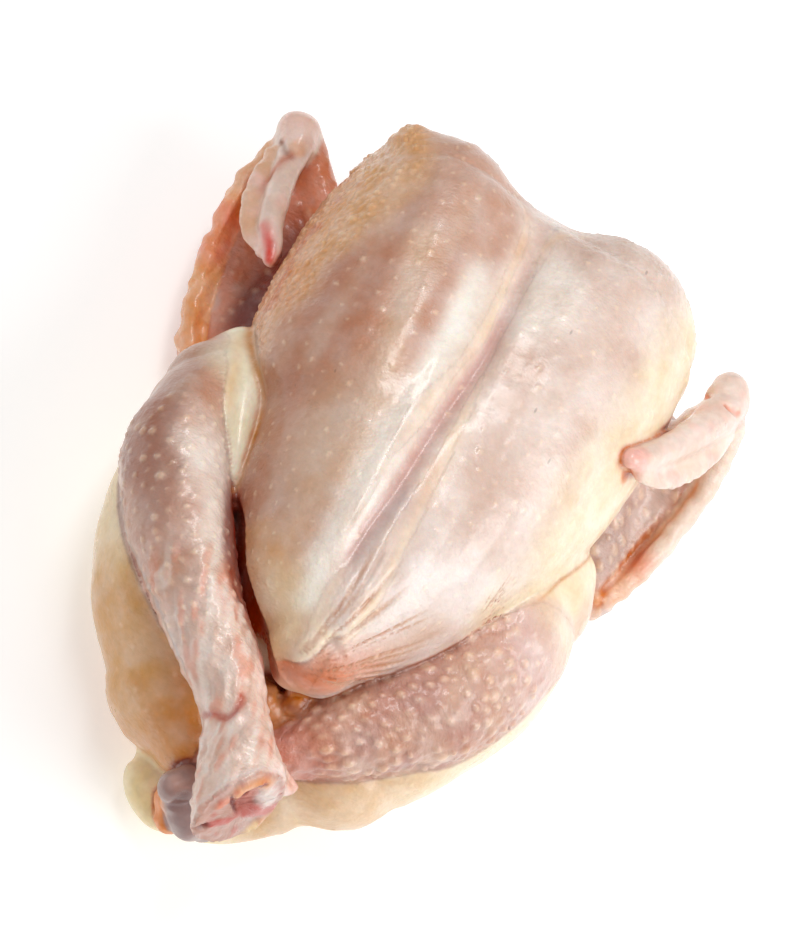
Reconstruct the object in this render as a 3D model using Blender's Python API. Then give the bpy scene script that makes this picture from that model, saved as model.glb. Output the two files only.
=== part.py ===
"""A whole raw chicken on its back, with its breast up, its wings folded and its ankles crossed over its tail.

The bird is one closed solid. Each part of it is a limb, which is a tube of oval cross-sections along a smooth
spine. The limbs are joined by a voxel remesh, the skin is relaxed over the joins, and the underside is pressed
flat where it lies. X points to the bird's left, Y to its neck and Z up.
"""

import math

import bmesh
import bpy
from mathutils import Vector

MM = 0.001

# Driving dimensions, in millimetres.
KEEL_X = 3.5  # the breastbone
BACK_X = 4.0  # the spine
WINGS_X = 8.0  # the middle of the spread of the wings, of which the left lies further out
BREAST_TOP = 104.0
BREAST_HALF = 38.0  # half the depth of one breast
BREAST_LEAN = 0.18  # how far the breast falls for each millimetre away from the breastbone
SUNK = 6.0  # how much of the round back is pressed flat where the bird lies

RING_SIDES = 32
CAP_RINGS = 5
STEPS_PER_SPAN = 5

VOXEL = 2.2
RELAX_ROUNDS = 5
THINNED_TO = 0.12
CUT_TOLERANCE = 0.000001

# The flat cut through the right ankle, which looks back, up and to the left.
ANKLE_MIDDLE = Vector((6.1, -106.3, 72.6))
ANKLE_FACING = Vector((0.687, -0.617, 0.386))


def smooth_value(before, start, end, after, t):
    """A Catmull-Rom curve from start to end, at t from 0 to 1."""
    return 0.5 * (
        2 * start
        + (end - before) * t
        + (2 * before - 5 * start + 4 * end - after) * t**2
        + (3 * start - before - 3 * end + after) * t**3
    )


def smooth_stations(stations):
    """The stations with smooth steps between them. A station is x, y, z, half width and half height."""
    ends = [stations[0], *stations, stations[-1]]
    made = []
    for before, start, end, after in zip(ends, ends[1:], ends[2:], ends[3:]):
        for step in range(STEPS_PER_SPAN):
            t = step / STEPS_PER_SPAN
            made.append([smooth_value(*four, t) for four in zip(before, start, end, after)])
    made.append(list(stations[-1]))
    return made


def ring(mesh, centre, side, above, half_width, half_height, lean):
    """One oval of vertices, which falls by the lean for each millimetre to its side."""
    made = []
    for i in range(RING_SIDES):
        turn = 2 * math.pi * i / RING_SIDES
        across = half_width * math.cos(turn)
        up = half_height * math.sin(turn) - lean * across
        made.append(mesh.verts.new((centre + side * across + above * up) * MM))
    return made


def add_limb(mesh, stations, blunt_start=1.0, blunt_end=1.0, lean=0.0):
    """A tube of ovals along the stations. Its caps are round at 1, and flatter below that."""
    path = smooth_stations(stations)
    centres = [Vector(s[:3]) for s in path]
    last = len(path) - 1
    frames = []
    for i in range(len(path)):
        along = (centres[min(i + 1, last)] - centres[max(i - 1, 0)]).normalized()
        side = along.cross(Vector((0, 0, 1))).normalized()
        frames.append((along, side, side.cross(along)))

    def oval(i, shrink=1.0, reach=0.0):
        along, side, above = frames[i]
        half_width, half_height = path[i][3], path[i][4]
        cap = min(half_width, half_height)
        centre = centres[i] + along * cap * reach
        return ring(mesh, centre, side, above, half_width * shrink, half_height * shrink, lean)

    slopes = [math.pi / 2 * i / (CAP_RINGS + 1) for i in range(1, CAP_RINGS + 1)]
    rings = [oval(0, math.cos(a), -blunt_start * math.sin(a)) for a in reversed(slopes)]
    rings += [oval(i) for i in range(len(path))]
    rings += [oval(last, math.cos(a), blunt_end * math.sin(a)) for a in slopes]
    for near, far in zip(rings, rings[1:]):
        for i in range(RING_SIDES):
            j = (i + 1) % RING_SIDES
            mesh.faces.new((near[i], far[i], far[j], near[j]))
    mesh.faces.new(rings[0])
    mesh.faces.new(reversed(rings[-1]))


def add_trunk(mesh):
    """The rib cage and back, from the tucked neck to the rump, and the broad tail."""
    x = BACK_X
    add_limb(
        mesh,
        [
            (x - 1, 103, 40, 34, 30),
            (x - 1, 84, 40, 48, 42),
            (x, 48, 41, 55, 41 + SUNK),
            (x, 5, 40, 54, 40 + SUNK),
            (x + 1, -33, 33, 45, 33 + SUNK),
            (x + 2, -57, 24, 37, 26),
            (x + 2, -74, 18, 31, 18),
        ],
        blunt_start=0.6,
        blunt_end=0.6,
    )
    add_limb(mesh, [(x - 1, -72, 17, 29, 15), (x - 9, -89, 15, 21, 10), (x - 18, -98, 14.5, 12, 7.5)])


def add_breast(mesh, side):
    """One breast: full and blunt at the neck end, drawn in to the tip of the breastbone."""
    x = KEEL_X + side * 2
    half = BREAST_HALF
    z = BREAST_TOP - half
    if side < 0:
        flank = [
            (x - 23, 34, z, 37, half),
            (x - 18, 16, z, 29.5, half - 2.5),
            (x - 14.5, -6, z + 2, 27.6, half - 5),
        ]
        fore = 0
    else:
        flank = [(x + 23, 25, z, 36, half - 1), (x + 16, -8, z + 2, 27.2, half - 5)]
        fore = 3
    add_limb(
        mesh,
        [
            (x + side * 33 + fore, 105 - fore * 0.6, z, 26 + fore * 0.9, half - 7),
            (x + side * 30 + fore * 0.4, 94 - fore * 0.5, z, 32.8 + fore * 1.4, half - 2),
            (x + side * 27, 62, z, 37.4 + fore, half),
            *flank,
            (x + side * 9, -36, z + 6, 19.7 - side * 2.5, half - 14),
            (x + side * 3, -53, z + 10, 10, 14),
        ],
        blunt_start=0.75,
        lean=-side * BREAST_LEAN,
    )


def add_keel(mesh):
    """The flesh between the breasts, which leaves a shallow groove over the breastbone."""
    x = KEEL_X
    z = BREAST_TOP - BREAST_HALF
    add_limb(
        mesh,
        [
            (x - 1, 101, z + 1, 33, 26),
            (x, 80, z, 31, 31),
            (x, 50, z, 30, 33),
            (x, 20, z, 28, 34),
            (x, -15, z, 20, 34),
            (x, -42, z + 4, 12, 27),
            (x - 1, -56, z + 8, 7, 15),
        ],
        blunt_start=0.7,
    )
    add_limb(mesh, [(-33, 96, 82, 13, 11), (-39, 103, 82, 11, 10)])


def add_thigh(mesh, side):
    """The thigh, lying along the flank from the knee back to the rump."""
    x = BACK_X
    fore = 3 if side > 0 else 0
    low = 2.5 if side < 0 else 0
    knee = x + side * (52 + low * 0.6)
    add_limb(
        mesh,
        [
            (knee, 12 + fore, 40, 23 - fore * 0.8, 26),
            (knee, -17 + fore, 36, 25, 30),
            (x + side * (42 + low * 0.5), -44 + fore - low * 0.5, 31, 25 - fore, 28),
            (x + side * 27, -64 + fore - low, 27, 22, 22),
        ],
    )


def add_right_drumstick(mesh):
    """The upper drumstick, from the raised knee to the ankle, which is cut off flat."""
    leg = bmesh.new()
    add_limb(
        leg,
        [
            (-64.5, 21, 48, 9.5, 13.5),
            (-66.3, 9, 51.5, 11, 16.5),
            (-65, -4, 55, 14.6, 19),
            (-60, -16, 57, 17, 20),
            (-49.5, -33.5, 60, 16.4, 18.8),
            (-34, -53, 64, 13.2, 15),
            (-19, -68, 68, 12, 12.5),
            (-8, -81, 70, 9.8, 10.5),
            (-0.6, -93.5, 71, 12.4, 12.8),
            (4.5, -103.5, 72, 13.6, 14),
            (8.5, -110, 71.5, 14.2, 14),
            (12.5, -118, 71, 14.2, 14),
        ],
    )
    cut_off(leg, ANKLE_MIDDLE * MM, ANKLE_FACING)
    cut = bpy.data.meshes.new("leg")
    leg.to_mesh(cut)
    leg.free()
    mesh.from_mesh(cut)
    bpy.data.meshes.remove(cut)
    add_limb(mesh, [(9, -93, 73, 6, 5), (14.5, -91, 67.5, 4.5, 2.6), (19, -89.5, 62.5, 1.8, 1.4)])


def add_left_drumstick(mesh):
    """The lower drumstick, which passes under the right one, with the knuckle and cartilage at its end."""
    add_limb(
        mesh,
        [
            (63, 15, 45, 14, 16),
            (62, -6, 51, 16, 19.5),
            (51, -35, 52, 17.5, 20),
            (37, -49.5, 51, 17, 19),
            (24, -63.5, 49.5, 14.5, 15),
            (13, -74.5, 46, 10, 11),
            (3, -85, 43, 10, 11),
            (-2, -92, 36, 9.5, 9.5),
            (-3, -98, 31, 8.5, 9),
        ],
        blunt_end=0.35,
    )
    add_limb(mesh, [(-11, -101, 41, 5.5, 6.2), (-8, -97.5, 42, 5.5, 6)])
    add_limb(mesh, [(-8, -100, 34, 7, 6), (-1, -102, 29, 8, 7), (4, -100, 25, 6.5, 5.5)])
    add_limb(mesh, [(-9, -100, 28, 5.5, 6), (-6, -104, 23, 5, 5)])


def add_upper_arm(mesh, side):
    """The upper arm, from the shoulder back to the elbow at the flank."""
    x = WINGS_X
    add_limb(
        mesh,
        [(x + side * 50, 92, 36, 14, 16), (x + side * 62, 66, 24, 12, 14), (x + side * 74, 41, 13, 9, 10)],
    )


def add_right_wing(mesh):
    """The right wing: the forearm forward to the wrist, its thick front edge, and the hand along the breast."""
    add_limb(mesh, [(-62, 52, 14, 12, 8), (-65, 76, 20, 16, 8), (-66, 98, 30, 14, 8)])
    add_limb(
        mesh,
        [
            (-66, 41, 13, 8, 9),
            (-72.5, 59, 16, 8, 8.5),
            (-77, 82, 20, 8, 8.5),
            (-78.5, 100, 28, 8, 8.5),
            (-77.5, 112, 41, 7.5, 7.5),
        ],
    )
    add_limb(
        mesh,
        [
            (-73, 40, 18, 5, 5),
            (-78.9, 55, 21, 4.6, 5),
            (-82.6, 70, 24, 4.4, 5),
            (-84.6, 84, 28, 4.4, 5),
            (-84.2, 98, 32, 4.6, 5),
            (-80.8, 110, 38, 5, 5),
        ],
    )
    add_limb(mesh, [(-76, 117, 41, 5, 7), (-69, 111.5, 37, 6, 8), (-62.5, 104.5, 35, 7, 9), (-54, 97, 35, 7, 10)])
    add_limb(
        mesh,
        [
            (-79, 116, 44, 7, 7),
            (-76.5, 106, 47.5, 5.4, 5.6),
            (-75.6, 95.5, 50.5, 4.6, 4.6),
            (-73.8, 84.5, 53.5, 4.5, 4.4),
            (-71.4, 74, 56, 4.3, 4),
            (-67.3, 66, 57.5, 3.4, 3.2),
            (-66.3, 63, 57.8, 2.6, 2.6),
        ],
    )
    add_limb(
        mesh,
        [
            (-81.5, 104, 44, 3.5, 3),
            (-80.8, 90.5, 47.5, 4.4, 2.5),
            (-77.8, 78, 50.5, 4.8, 2.3),
            (-73.8, 69.5, 53, 4, 2.2),
            (-69.5, 65.5, 55, 2.5, 2),
        ],
    )
    add_limb(mesh, [(-78.8, 115.5, 47, 6, 5.5), (-77.6, 111.5, 48.5, 5, 4.6)])


def add_left_wing(mesh):
    """The left wing: its wrist stands higher, and the hand lies up over the breast."""
    add_limb(mesh, [(78, 52, 14, 12, 8), (81, 74, 23, 16, 8), (80, 92, 36, 13, 8)])
    add_limb(
        mesh,
        [
            (82, 41, 13, 8, 9),
            (88.5, 58, 17, 8, 8.5),
            (92.5, 77, 24, 8, 8.5),
            (93, 92, 35, 8, 8.5),
            (90, 101, 52, 7.5, 8),
        ],
    )
    add_limb(
        mesh,
        [
            (82.5, 37, 15, 5, 5),
            (88.6, 44.5, 18, 5, 5),
            (93.2, 57, 24, 4.8, 5.2),
            (96.3, 74.5, 32, 4.8, 5.2),
            (96, 90.5, 43, 5, 5.2),
            (92.5, 99, 53, 5.5, 5.5),
        ],
    )
    add_limb(mesh, [(87, 103, 54, 4, 7), (83, 98.5, 50, 4, 8), (81, 91.5, 46, 5, 9), (75.5, 84, 41, 6, 10)])
    add_limb(
        mesh,
        [
            (87.8, 103.5, 58, 7.3, 7.5),
            (86.5, 96.5, 64, 6.6, 6.5),
            (80.2, 80.5, 72.3, 5.4, 5),
            (72.1, 65.3, 79.5, 4.5, 4.3),
            (65.3, 54.6, 87, 4, 3.6),
            (61.8, 50.8, 90, 3, 2.8),
        ],
    )
    add_limb(
        mesh,
        [
            (92, 92, 60, 3.5, 3),
            (86.9, 77.5, 66, 4.4, 2.6),
            (79.2, 63.5, 73, 5, 2.4),
            (72, 53.8, 81, 4.2, 2.3),
            (67.5, 50.5, 85, 3, 2),
        ],
    )
    add_limb(mesh, [(86.6, 106.5, 61.5, 6.3, 6), (85, 102.5, 63, 5.4, 5.2)])


def add_skin_folds(mesh):
    """The neck skin, the fat beside the right knee, the ends of the thighs, and the folds below the breast."""
    x = BACK_X
    add_limb(mesh, [(x - 28, 108, 34, 9, 14), (x, 113, 30, 10, 16), (x + 28, 108, 34, 9, 14)])
    add_limb(
        mesh,
        [
            (-59.5, 32, 55, 6.5, 8),
            (-56.8, 24, 58.5, 8.2, 9.5),
            (-53.2, 16, 61, 8, 9.5),
            (-50.2, 5.8, 62, 7.2, 8.8),
            (-46.4, -4.5, 62, 5.4, 8),
            (-43.6, -12.5, 61, 3.6, 7),
        ],
    )
    add_limb(mesh, [(-34, -62, 30, 14, 16), (-22, -77, 32, 13, 14.5), (-14, -84, 34, 10.5, 12)])
    add_limb(mesh, [(43, -14, 60, 5, 6), (54, -1, 60, 8, 8), (63, 12, 55, 8.5, 11), (67.5, 24, 44, 7.5, 13)])
    add_limb(
        mesh,
        [
            (0, -57, 68, 6, 6),
            (10, -55, 65, 6.5, 6),
            (18, -45, 64, 6, 7),
            (29, -31, 62, 5, 7),
            (40, -15, 58, 5, 7),
            (50, 0, 55, 5, 8),
        ],
    )
    add_limb(mesh, [(-2, -66, 52, 6, 7), (4, -68, 50, 6, 6)])
    add_limb(mesh, [(8, -63, 55, 5, 5), (13, -61, 54, 4, 4)])


def skin_material():
    skin = bpy.data.materials.new("raw_skin")
    skin.use_nodes = True
    shader = skin.node_tree.nodes["Principled BSDF"]
    shader.inputs["Base Color"].default_value = (0.70, 0.48, 0.35, 1)
    shader.inputs["Roughness"].default_value = 0.38
    shader.inputs["Metallic"].default_value = 0.0
    return skin


def modifier(thing, kind, **settings):
    made = thing.modifiers.new(kind.title(), kind)
    for name, value in settings.items():
        setattr(made, name, value)


def cut_off(form, middle, facing):
    """Cut away what lies beyond a plane, and close the cut."""
    everything = form.verts[:] + form.edges[:] + form.faces[:]
    cut = bmesh.ops.bisect_plane(
        form, geom=everything, dist=CUT_TOLERANCE, plane_co=middle, plane_no=facing, clear_outer=True
    )
    rim = [part for part in cut["geom_cut"] if isinstance(part, bmesh.types.BMEdge)]
    filled = bmesh.ops.contextual_create(form, geom=rim)["faces"]
    bmesh.ops.triangulate(form, faces=filled)


def press_flat(mesh):
    """Cut the mesh flat at the table, and move it so that the middle of its box is over the origin."""
    form = bmesh.new()
    form.from_mesh(mesh)
    cut_off(form, Vector((0, 0, 0)), Vector((0, 0, -1)))
    for axis in range(2):
        places = [v.co[axis] for v in form.verts]
        middle = (min(places) + max(places)) / 2
        for v in form.verts:
            v.co[axis] -= middle
    bmesh.ops.recalc_face_normals(form, faces=form.faces[:])
    form.to_mesh(mesh)
    form.free()


def main():
    for thing in list(bpy.data.objects):
        bpy.data.objects.remove(thing)
    form = bmesh.new()
    add_trunk(form)
    add_keel(form)
    for side in (-1, 1):
        add_breast(form, side)
        add_thigh(form, side)
        add_upper_arm(form, side)
    add_right_drumstick(form)
    add_left_drumstick(form)
    add_right_wing(form)
    add_left_wing(form)
    add_skin_folds(form)
    rough = bpy.data.meshes.new("limbs")
    form.to_mesh(rough)
    form.free()
    chicken = bpy.data.objects.new("chicken", rough)
    bpy.context.scene.collection.objects.link(chicken)
    modifier(chicken, "REMESH", mode="VOXEL", voxel_size=VOXEL * MM)
    modifier(chicken, "SMOOTH", factor=0.5, iterations=RELAX_ROUNDS)
    modifier(chicken, "DECIMATE", ratio=THINNED_TO)
    joined = bpy.data.meshes.new_from_object(chicken.evaluated_get(bpy.context.evaluated_depsgraph_get()))
    chicken.modifiers.clear()
    chicken.data = joined
    bpy.data.meshes.remove(rough)
    press_flat(joined)
    joined.name = "chicken"
    joined.materials.append(skin_material())
    joined.shade_smooth()


main()
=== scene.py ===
"""A whole raw chicken on a white table: its skin, fat, folds, follicles and cut ankles.

The bird is one smooth surface round a set of limbs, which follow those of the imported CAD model. Lengths here
are in millimetres in the bird's own frame, with X to its left, Y to its neck and Z up from the table. In the
names, r is the bird's right side, at negative X, and l is its left side.
"""

import math

import bpy
import numpy as np
from mathutils import Matrix, Vector

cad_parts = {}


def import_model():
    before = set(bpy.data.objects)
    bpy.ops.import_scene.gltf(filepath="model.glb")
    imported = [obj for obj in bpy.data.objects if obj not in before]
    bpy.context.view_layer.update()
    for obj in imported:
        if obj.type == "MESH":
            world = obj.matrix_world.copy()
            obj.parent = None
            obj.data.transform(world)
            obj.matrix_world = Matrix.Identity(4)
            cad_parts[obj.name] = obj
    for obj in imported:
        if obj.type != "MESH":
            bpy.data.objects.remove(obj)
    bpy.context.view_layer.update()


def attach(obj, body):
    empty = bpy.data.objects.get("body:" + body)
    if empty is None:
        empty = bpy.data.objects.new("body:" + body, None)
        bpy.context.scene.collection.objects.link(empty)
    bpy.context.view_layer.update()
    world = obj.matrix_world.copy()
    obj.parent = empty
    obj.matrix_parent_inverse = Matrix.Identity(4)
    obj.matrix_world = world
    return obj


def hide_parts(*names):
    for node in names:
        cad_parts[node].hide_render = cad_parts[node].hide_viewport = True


MM = 0.001
ORIGIN = (-6.234, -4.71, 0.0)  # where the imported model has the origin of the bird's own frame

KEEL_X = 3.5
BACK_X = 4.0
WINGS_X = 8.0
BREAST_TOP = 104.0
BREAST_HALF = 38.0
BREAST_MIDDLE = BREAST_TOP - BREAST_HALF
BREAST_LEAN = 0.18  # how far the breast falls for each millimetre away from the keel
LEFT_FORE = 3.0  # how much wider the left breast is, and how much nearer the neck the left thigh lies
RIGHT_LOW = 2.5  # how much nearer the tail the right thigh ends
SUNK = 6.0  # how far the trunk reaches below the table, where it is cut off flat
SLIT = 4.2  # width of the gap between the right drumstick and the breast
HAND_GAP = 1.2  # how far the breast stays off the left hand, which presses a hollow into it

CELL = 1.7  # spacing of the first mesh, which is then halved
GRID_LOW = (-95.0, -122.0, -6.0)  # the box in which the skin is looked for
GRID_HIGH = (112.0, 137.0, 110.0)
FAR = 16.0  # no limb is felt further away than this
STEPS_PER_SPAN = 8
MAX_LIFT = 1.8  # the most that follicles and wrinkles may move the skin

TARGET = (-4, 0, 104)
AZIMUTH, ELEVATION, ROLL = -12, 64, -41.4  # of the camera, in degrees
CAMERA_AWAY = 900
LENS = 115.63169
FLOOR_HALF = 1.5  # metres
FLOOR_GLOW = 0.36
SKY_COLOUR = (1.0, 0.99, 0.975)
SKY_LIGHT = 0.36
LAMPS = [
    # name, place, width and length in metres, power
    ("key", (0.82, -0.1, 0.74), (0.7, 0.8), 6.4),
    ("window", (-0.15, 0.3, 1.1), (0.2, 0.6), 3.6),
    ("fill", (-0.5, -0.5, 0.9), (0.8, 0.8), 0.8),
]


# Shapes


def smooth_stations(stations):
    """The stations with Catmull-Rom steps between them. A station is x, y, z, half width and half height."""
    s = np.array([stations[0], *stations, stations[-1]], float)
    made = []
    for before, a, b, after in zip(s, s[1:], s[2:], s[3:]):
        bend = 2 * before - 5 * a + 4 * b - after
        twist = 3 * a - before - 3 * b + after
        for t in np.arange(STEPS_PER_SPAN) / STEPS_PER_SPAN:
            made.append(0.5 * (2 * a + (b - before) * t + bend * t**2 + twist * t**3))
    made.append(s[-1])
    return np.array(made)


class Limb:
    """A tube of oval sections along a spine, with a rounded cap at each end."""

    def __init__(self, stations, blunt_start=1.0, blunt_end=1.0, lean=0.0):
        self.lean = lean
        path = smooth_stations(stations)
        self.start = path[0, :3]
        self.axis = unit(path[-1, :3] - self.start)
        self.side = unit(np.cross(self.axis, (0, 0, 1)))
        self.above = np.cross(self.side, self.axis)
        offset = path[:, :3] - self.start
        self.t = np.maximum.accumulate(offset @ self.axis + np.arange(len(path)) * 1e-6)
        self.u = offset @ self.side
        self.v = offset @ self.above
        self.a = path[:, 3] * np.sqrt(1 + np.gradient(self.u, self.t) ** 2)
        self.b = path[:, 4] * np.sqrt(1 + np.gradient(self.v, self.t) ** 2)
        self.caps = (
            max(blunt_start * min(path[0, 3], path[0, 4]), 0.5),
            max(blunt_end * min(path[-1, 3], path[-1, 4]), 0.5),
        )
        reach = max(path[:, 3:].max(), *self.caps) + FAR
        self.low = path[:, :3].min(0) - reach
        self.high = path[:, :3].max(0) + reach

    def local(self, p):
        """Along the spine, and across and above it."""
        q = p - self.start
        t = q @ self.axis
        held = np.clip(t, self.t[0], self.t[-1])
        u = q @ self.side - np.interp(held, self.t, self.u)
        v = q @ self.above - np.interp(held, self.t, self.v) + self.lean * u
        return t, u, v

    def distance(self, p):
        """How far each place is outside the limb, which is only worked out near it."""
        near = within(p, self.low, self.high)
        result = np.full(len(p), FAR)
        if len(near):
            result[near] = np.minimum(self.near_distance(p[near]), FAR)
        return result

    def near_distance(self, p):
        """The same, worked out for every place given."""
        t, u, v = self.local(p)
        held = np.clip(t, self.t[0], self.t[-1])
        a = np.interp(held, self.t, self.a)
        b = np.interp(held, self.t, self.b)
        w = t - held
        c = np.where(w < 0, self.caps[0], self.caps[1])
        u, v, w = u / a, v / b, w / c
        far = np.sqrt(u * u + v * v + w * w) + 1e-6
        steep = np.sqrt((u / a) ** 2 + (v / b) ** 2 + (w / c) ** 2) + 1e-9
        return far * (far - 1) / steep


def unit(direction):
    return np.array(direction) / np.linalg.norm(direction)


def join(a, b, k):
    """The union of two fields, rounded over a width of k."""
    h = np.maximum(k - np.abs(a - b), 0) / np.maximum(k, 1e-6)
    return np.minimum(a, b) - h * h * k * 0.25


def ramp(x, low, high):
    """0 below low, 1 above high, and smooth between them."""
    t = np.clip((x - low) / (high - low), 0, 1)
    return t * t * (3 - 2 * t)


def lattice(i, j, k, seed):
    """A number from -1 to 1 for each whole-number place, which looks random."""
    h = (i * 374761393 + j * 668265263 + k * 1440662683 + seed * 974711) & 0xFFFFFFFF
    h = ((h ^ (h >> 13)) * 1274126177) & 0xFFFFFFFF
    h = ((h ^ (h >> 16)) * 2246822519) & 0xFFFFFFFF
    return (h ^ (h >> 15)) / 2147483647.5 - 1


def noise(p, size, seed=0):
    """Smooth noise from -1 to 1. size is the width of its lumps, one for all axes or one for each."""
    q = p / size
    base = np.floor(q)
    f = q - base
    f = f * f * (3 - 2 * f)
    i, j, k = base.astype(np.int64).T
    x, y, z = f.T
    total = 0.0
    for dx, wx in ((0, 1 - x), (1, x)):
        for dy, wy in ((0, 1 - y), (1, y)):
            for dz, wz in ((0, 1 - z), (1, z)):
                total = total + lattice(i + dx, j + dy, k + dz, seed) * wx * wy * wz
    return total


def flat_noise(u, v, seed):
    """Smooth noise over two coordinates."""
    return noise(np.stack([u, v, 0 * u], 1), 1.0, seed)


def within(p, low, high):
    """The numbers of the places that are inside a box."""
    return np.flatnonzero(((p > low) & (p < high)).all(1))


def track(p, points):
    """How far each place is from a line through the points, how far along it is, and its offset."""
    path = smooth_stations([[*q, 0, 0] for q in points])[:, :3]
    best = np.full(len(p), 1e9)
    along = np.zeros(len(p))
    offset = np.zeros((len(p), 3))
    for n, (a, b) in enumerate(zip(path, path[1:])):
        d = b - a
        t = np.clip((p - a) @ d / (d @ d), 0, 1)
        away = p - a - t[:, None] * d
        far = np.linalg.norm(away, axis=1)
        near = far < best
        best[near] = far[near]
        along[near] = (n + t[near]) / (len(path) - 1)
        offset[near] = away[near]
    return best, along, offset


# The limbs. Each station is x, y, z, half width and half height.

TRUNK = [
    (BACK_X - 1, 103, 40, 34, 30),
    (BACK_X - 1, 84, 40, 48, 42),
    (BACK_X, 48, 41, 55, 41 + SUNK),
    (BACK_X, 5, 40, 54, 40 + SUNK),
    (BACK_X + 1, -33, 33, 45, 33 + SUNK),
    (BACK_X + 2, -57, 24, 37, 26),
    (BACK_X + 2, -74, 18, 31, 18),
]
KEEL = [
    (KEEL_X - 1, 101, BREAST_MIDDLE + 1, 33, 26),
    (KEEL_X, 80, BREAST_MIDDLE, 31, 31),
    (KEEL_X, 50, BREAST_MIDDLE, 30, 33),
    (KEEL_X, 20, BREAST_MIDDLE, 28, 34),
    (KEEL_X, -15, BREAST_MIDDLE, 20, 34),
    (KEEL_X, -42, BREAST_MIDDLE + 4, 12, 27),
    (KEEL_X - 1, -56, BREAST_MIDDLE + 8, 7, 15),
]
TORSO = {
    "tail": [(BACK_X - 1, -72, 17, 29, 15), (BACK_X - 9, -89, 15, 21, 10), (BACK_X - 18, -98, 14.5, 12, 7.5)],
    "neck": [(BACK_X - 28, 108, 34, 9, 14), (BACK_X, 113, 30, 10, 16), (BACK_X + 28, 108, 34, 9, 14)],
    "crop_r": [(-34, 98, 82, 12, 10), (-41, 106, 84, 9, 8), (-46, 111, 85, 5, 5)],
    "flank_l": [(43, -14, 60, 5, 6), (54, -1, 60, 8, 8), (63, 12, 55, 8.5, 11), (67.5, 24, 44, 7.5, 13)],
    "fold": [
        (0, -57, 68, 6, 6), (10, -55, 65, 6.5, 6), (18, -45, 64, 6, 7),
        (29, -31, 62, 5, 7), (40, -15, 58, 5, 7), (50, 0, 55, 5, 8),
    ],
    "fat_1": [(-2, -66, 52, 6, 7), (4, -68, 50, 6, 6)],
    "fat_2": [(8, -63, 55, 5, 5), (13, -61, 54, 4, 4)],
    "fat_r": [
        (-59.5, 32, 55, 6.5, 8), (-56.8, 24, 58.5, 8.2, 9.5), (-53.2, 16, 61, 8, 9.5),
        (-50.2, 5.8, 62, 7.2, 8.8), (-46.4, -4.5, 62, 5.4, 8), (-43.6, -12.5, 61, 3.6, 7),
    ],
}
WINGS = {
    "hand_r": [
        (-79, 116, 44, 7, 7), (-76.5, 106, 47.5, 5.4, 5.6), (-75.6, 95.5, 50.5, 4.6, 4.6),
        (-73.8, 84.5, 53.5, 4.5, 4.4), (-71.4, 74, 56, 4.3, 4), (-67.3, 66, 57.5, 3.4, 3.2),
        (-66.3, 63, 57.8, 2.6, 2.6),
    ],
    "flap_r": [
        (-81.5, 104, 44, 3.5, 3), (-80.8, 90.5, 47.5, 4.4, 2.5), (-77.8, 78, 50.5, 4.8, 2.3),
        (-73.8, 69.5, 53, 4, 2.2), (-69.5, 65.5, 55, 2.5, 2),
    ],
    "knob_r": [(-78.8, 115.5, 47, 6, 5.5), (-77.6, 111.5, 48.5, 5, 4.6)],
    "front_r": [(-76, 117, 41, 5, 7), (-69, 111.5, 37, 6, 8), (-62.5, 104.5, 35, 7, 9), (-54, 97, 35, 7, 10)],
    "fore_r": [
        (-66, 41, 13, 8, 9), (-72.5, 59, 16, 8, 8.5), (-77, 82, 20, 8, 8.5),
        (-78.5, 100, 28, 8, 8.5), (-77.5, 112, 41, 7.5, 7.5),
    ],
    "web_r": [(-62, 52, 14, 12, 8), (-65, 76, 20, 16, 8), (-66, 98, 30, 14, 8)],
    "rim_r": [
        (-73, 40, 18, 5, 5), (-78.9, 55, 21, 4.6, 5), (-82.6, 70, 24, 4.4, 5),
        (-84.6, 84, 28, 4.4, 5), (-84.2, 98, 32, 4.6, 5), (-80.8, 110, 38, 5, 5),
    ],
    "hand_l": [
        (87.8, 103.5, 58, 7.3, 7.5), (86.5, 96.5, 64, 6.6, 6.5), (80.2, 80.5, 72.3, 5.4, 5),
        (72.1, 65.3, 79.5, 4.5, 4.3), (65.3, 54.6, 87, 4, 3.6), (61.8, 50.8, 90, 3, 2.8),
    ],
    "flap_l": [
        (92, 92, 60, 3.5, 3), (86.9, 77.5, 66, 4.4, 2.6), (79.2, 63.5, 73, 5, 2.4),
        (72, 53.8, 81, 4.2, 2.3), (67.5, 50.5, 85, 3, 2),
    ],
    "knob_l": [(86.6, 106.5, 61.5, 6.3, 6), (85, 102.5, 63, 5.4, 5.2)],
    "front_l": [(87, 103, 54, 4, 7), (83, 98.5, 50, 4, 8), (81, 91.5, 46, 5, 9), (75.5, 84, 41, 6, 10)],
    "fore_l": [
        (82, 41, 13, 8, 9), (88.5, 58, 17, 8, 8.5), (92.5, 77, 24, 8, 8.5),
        (93, 92, 35, 8, 8.5), (90, 101, 52, 7.5, 8),
    ],
    "web_l": [(78, 52, 14, 12, 8), (81, 74, 23, 16, 8), (80, 92, 36, 13, 8)],
    "rim_l": [
        (82.5, 37, 15, 5, 5), (89.4, 44.2, 18, 4.2, 5), (94.2, 56.7, 24, 3.9, 5),
        (97.3, 74.2, 32, 3.9, 5), (96.7, 90.3, 43, 4.3, 5.2), (92.5, 99, 53, 5.5, 5.5),
    ],
}
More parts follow.
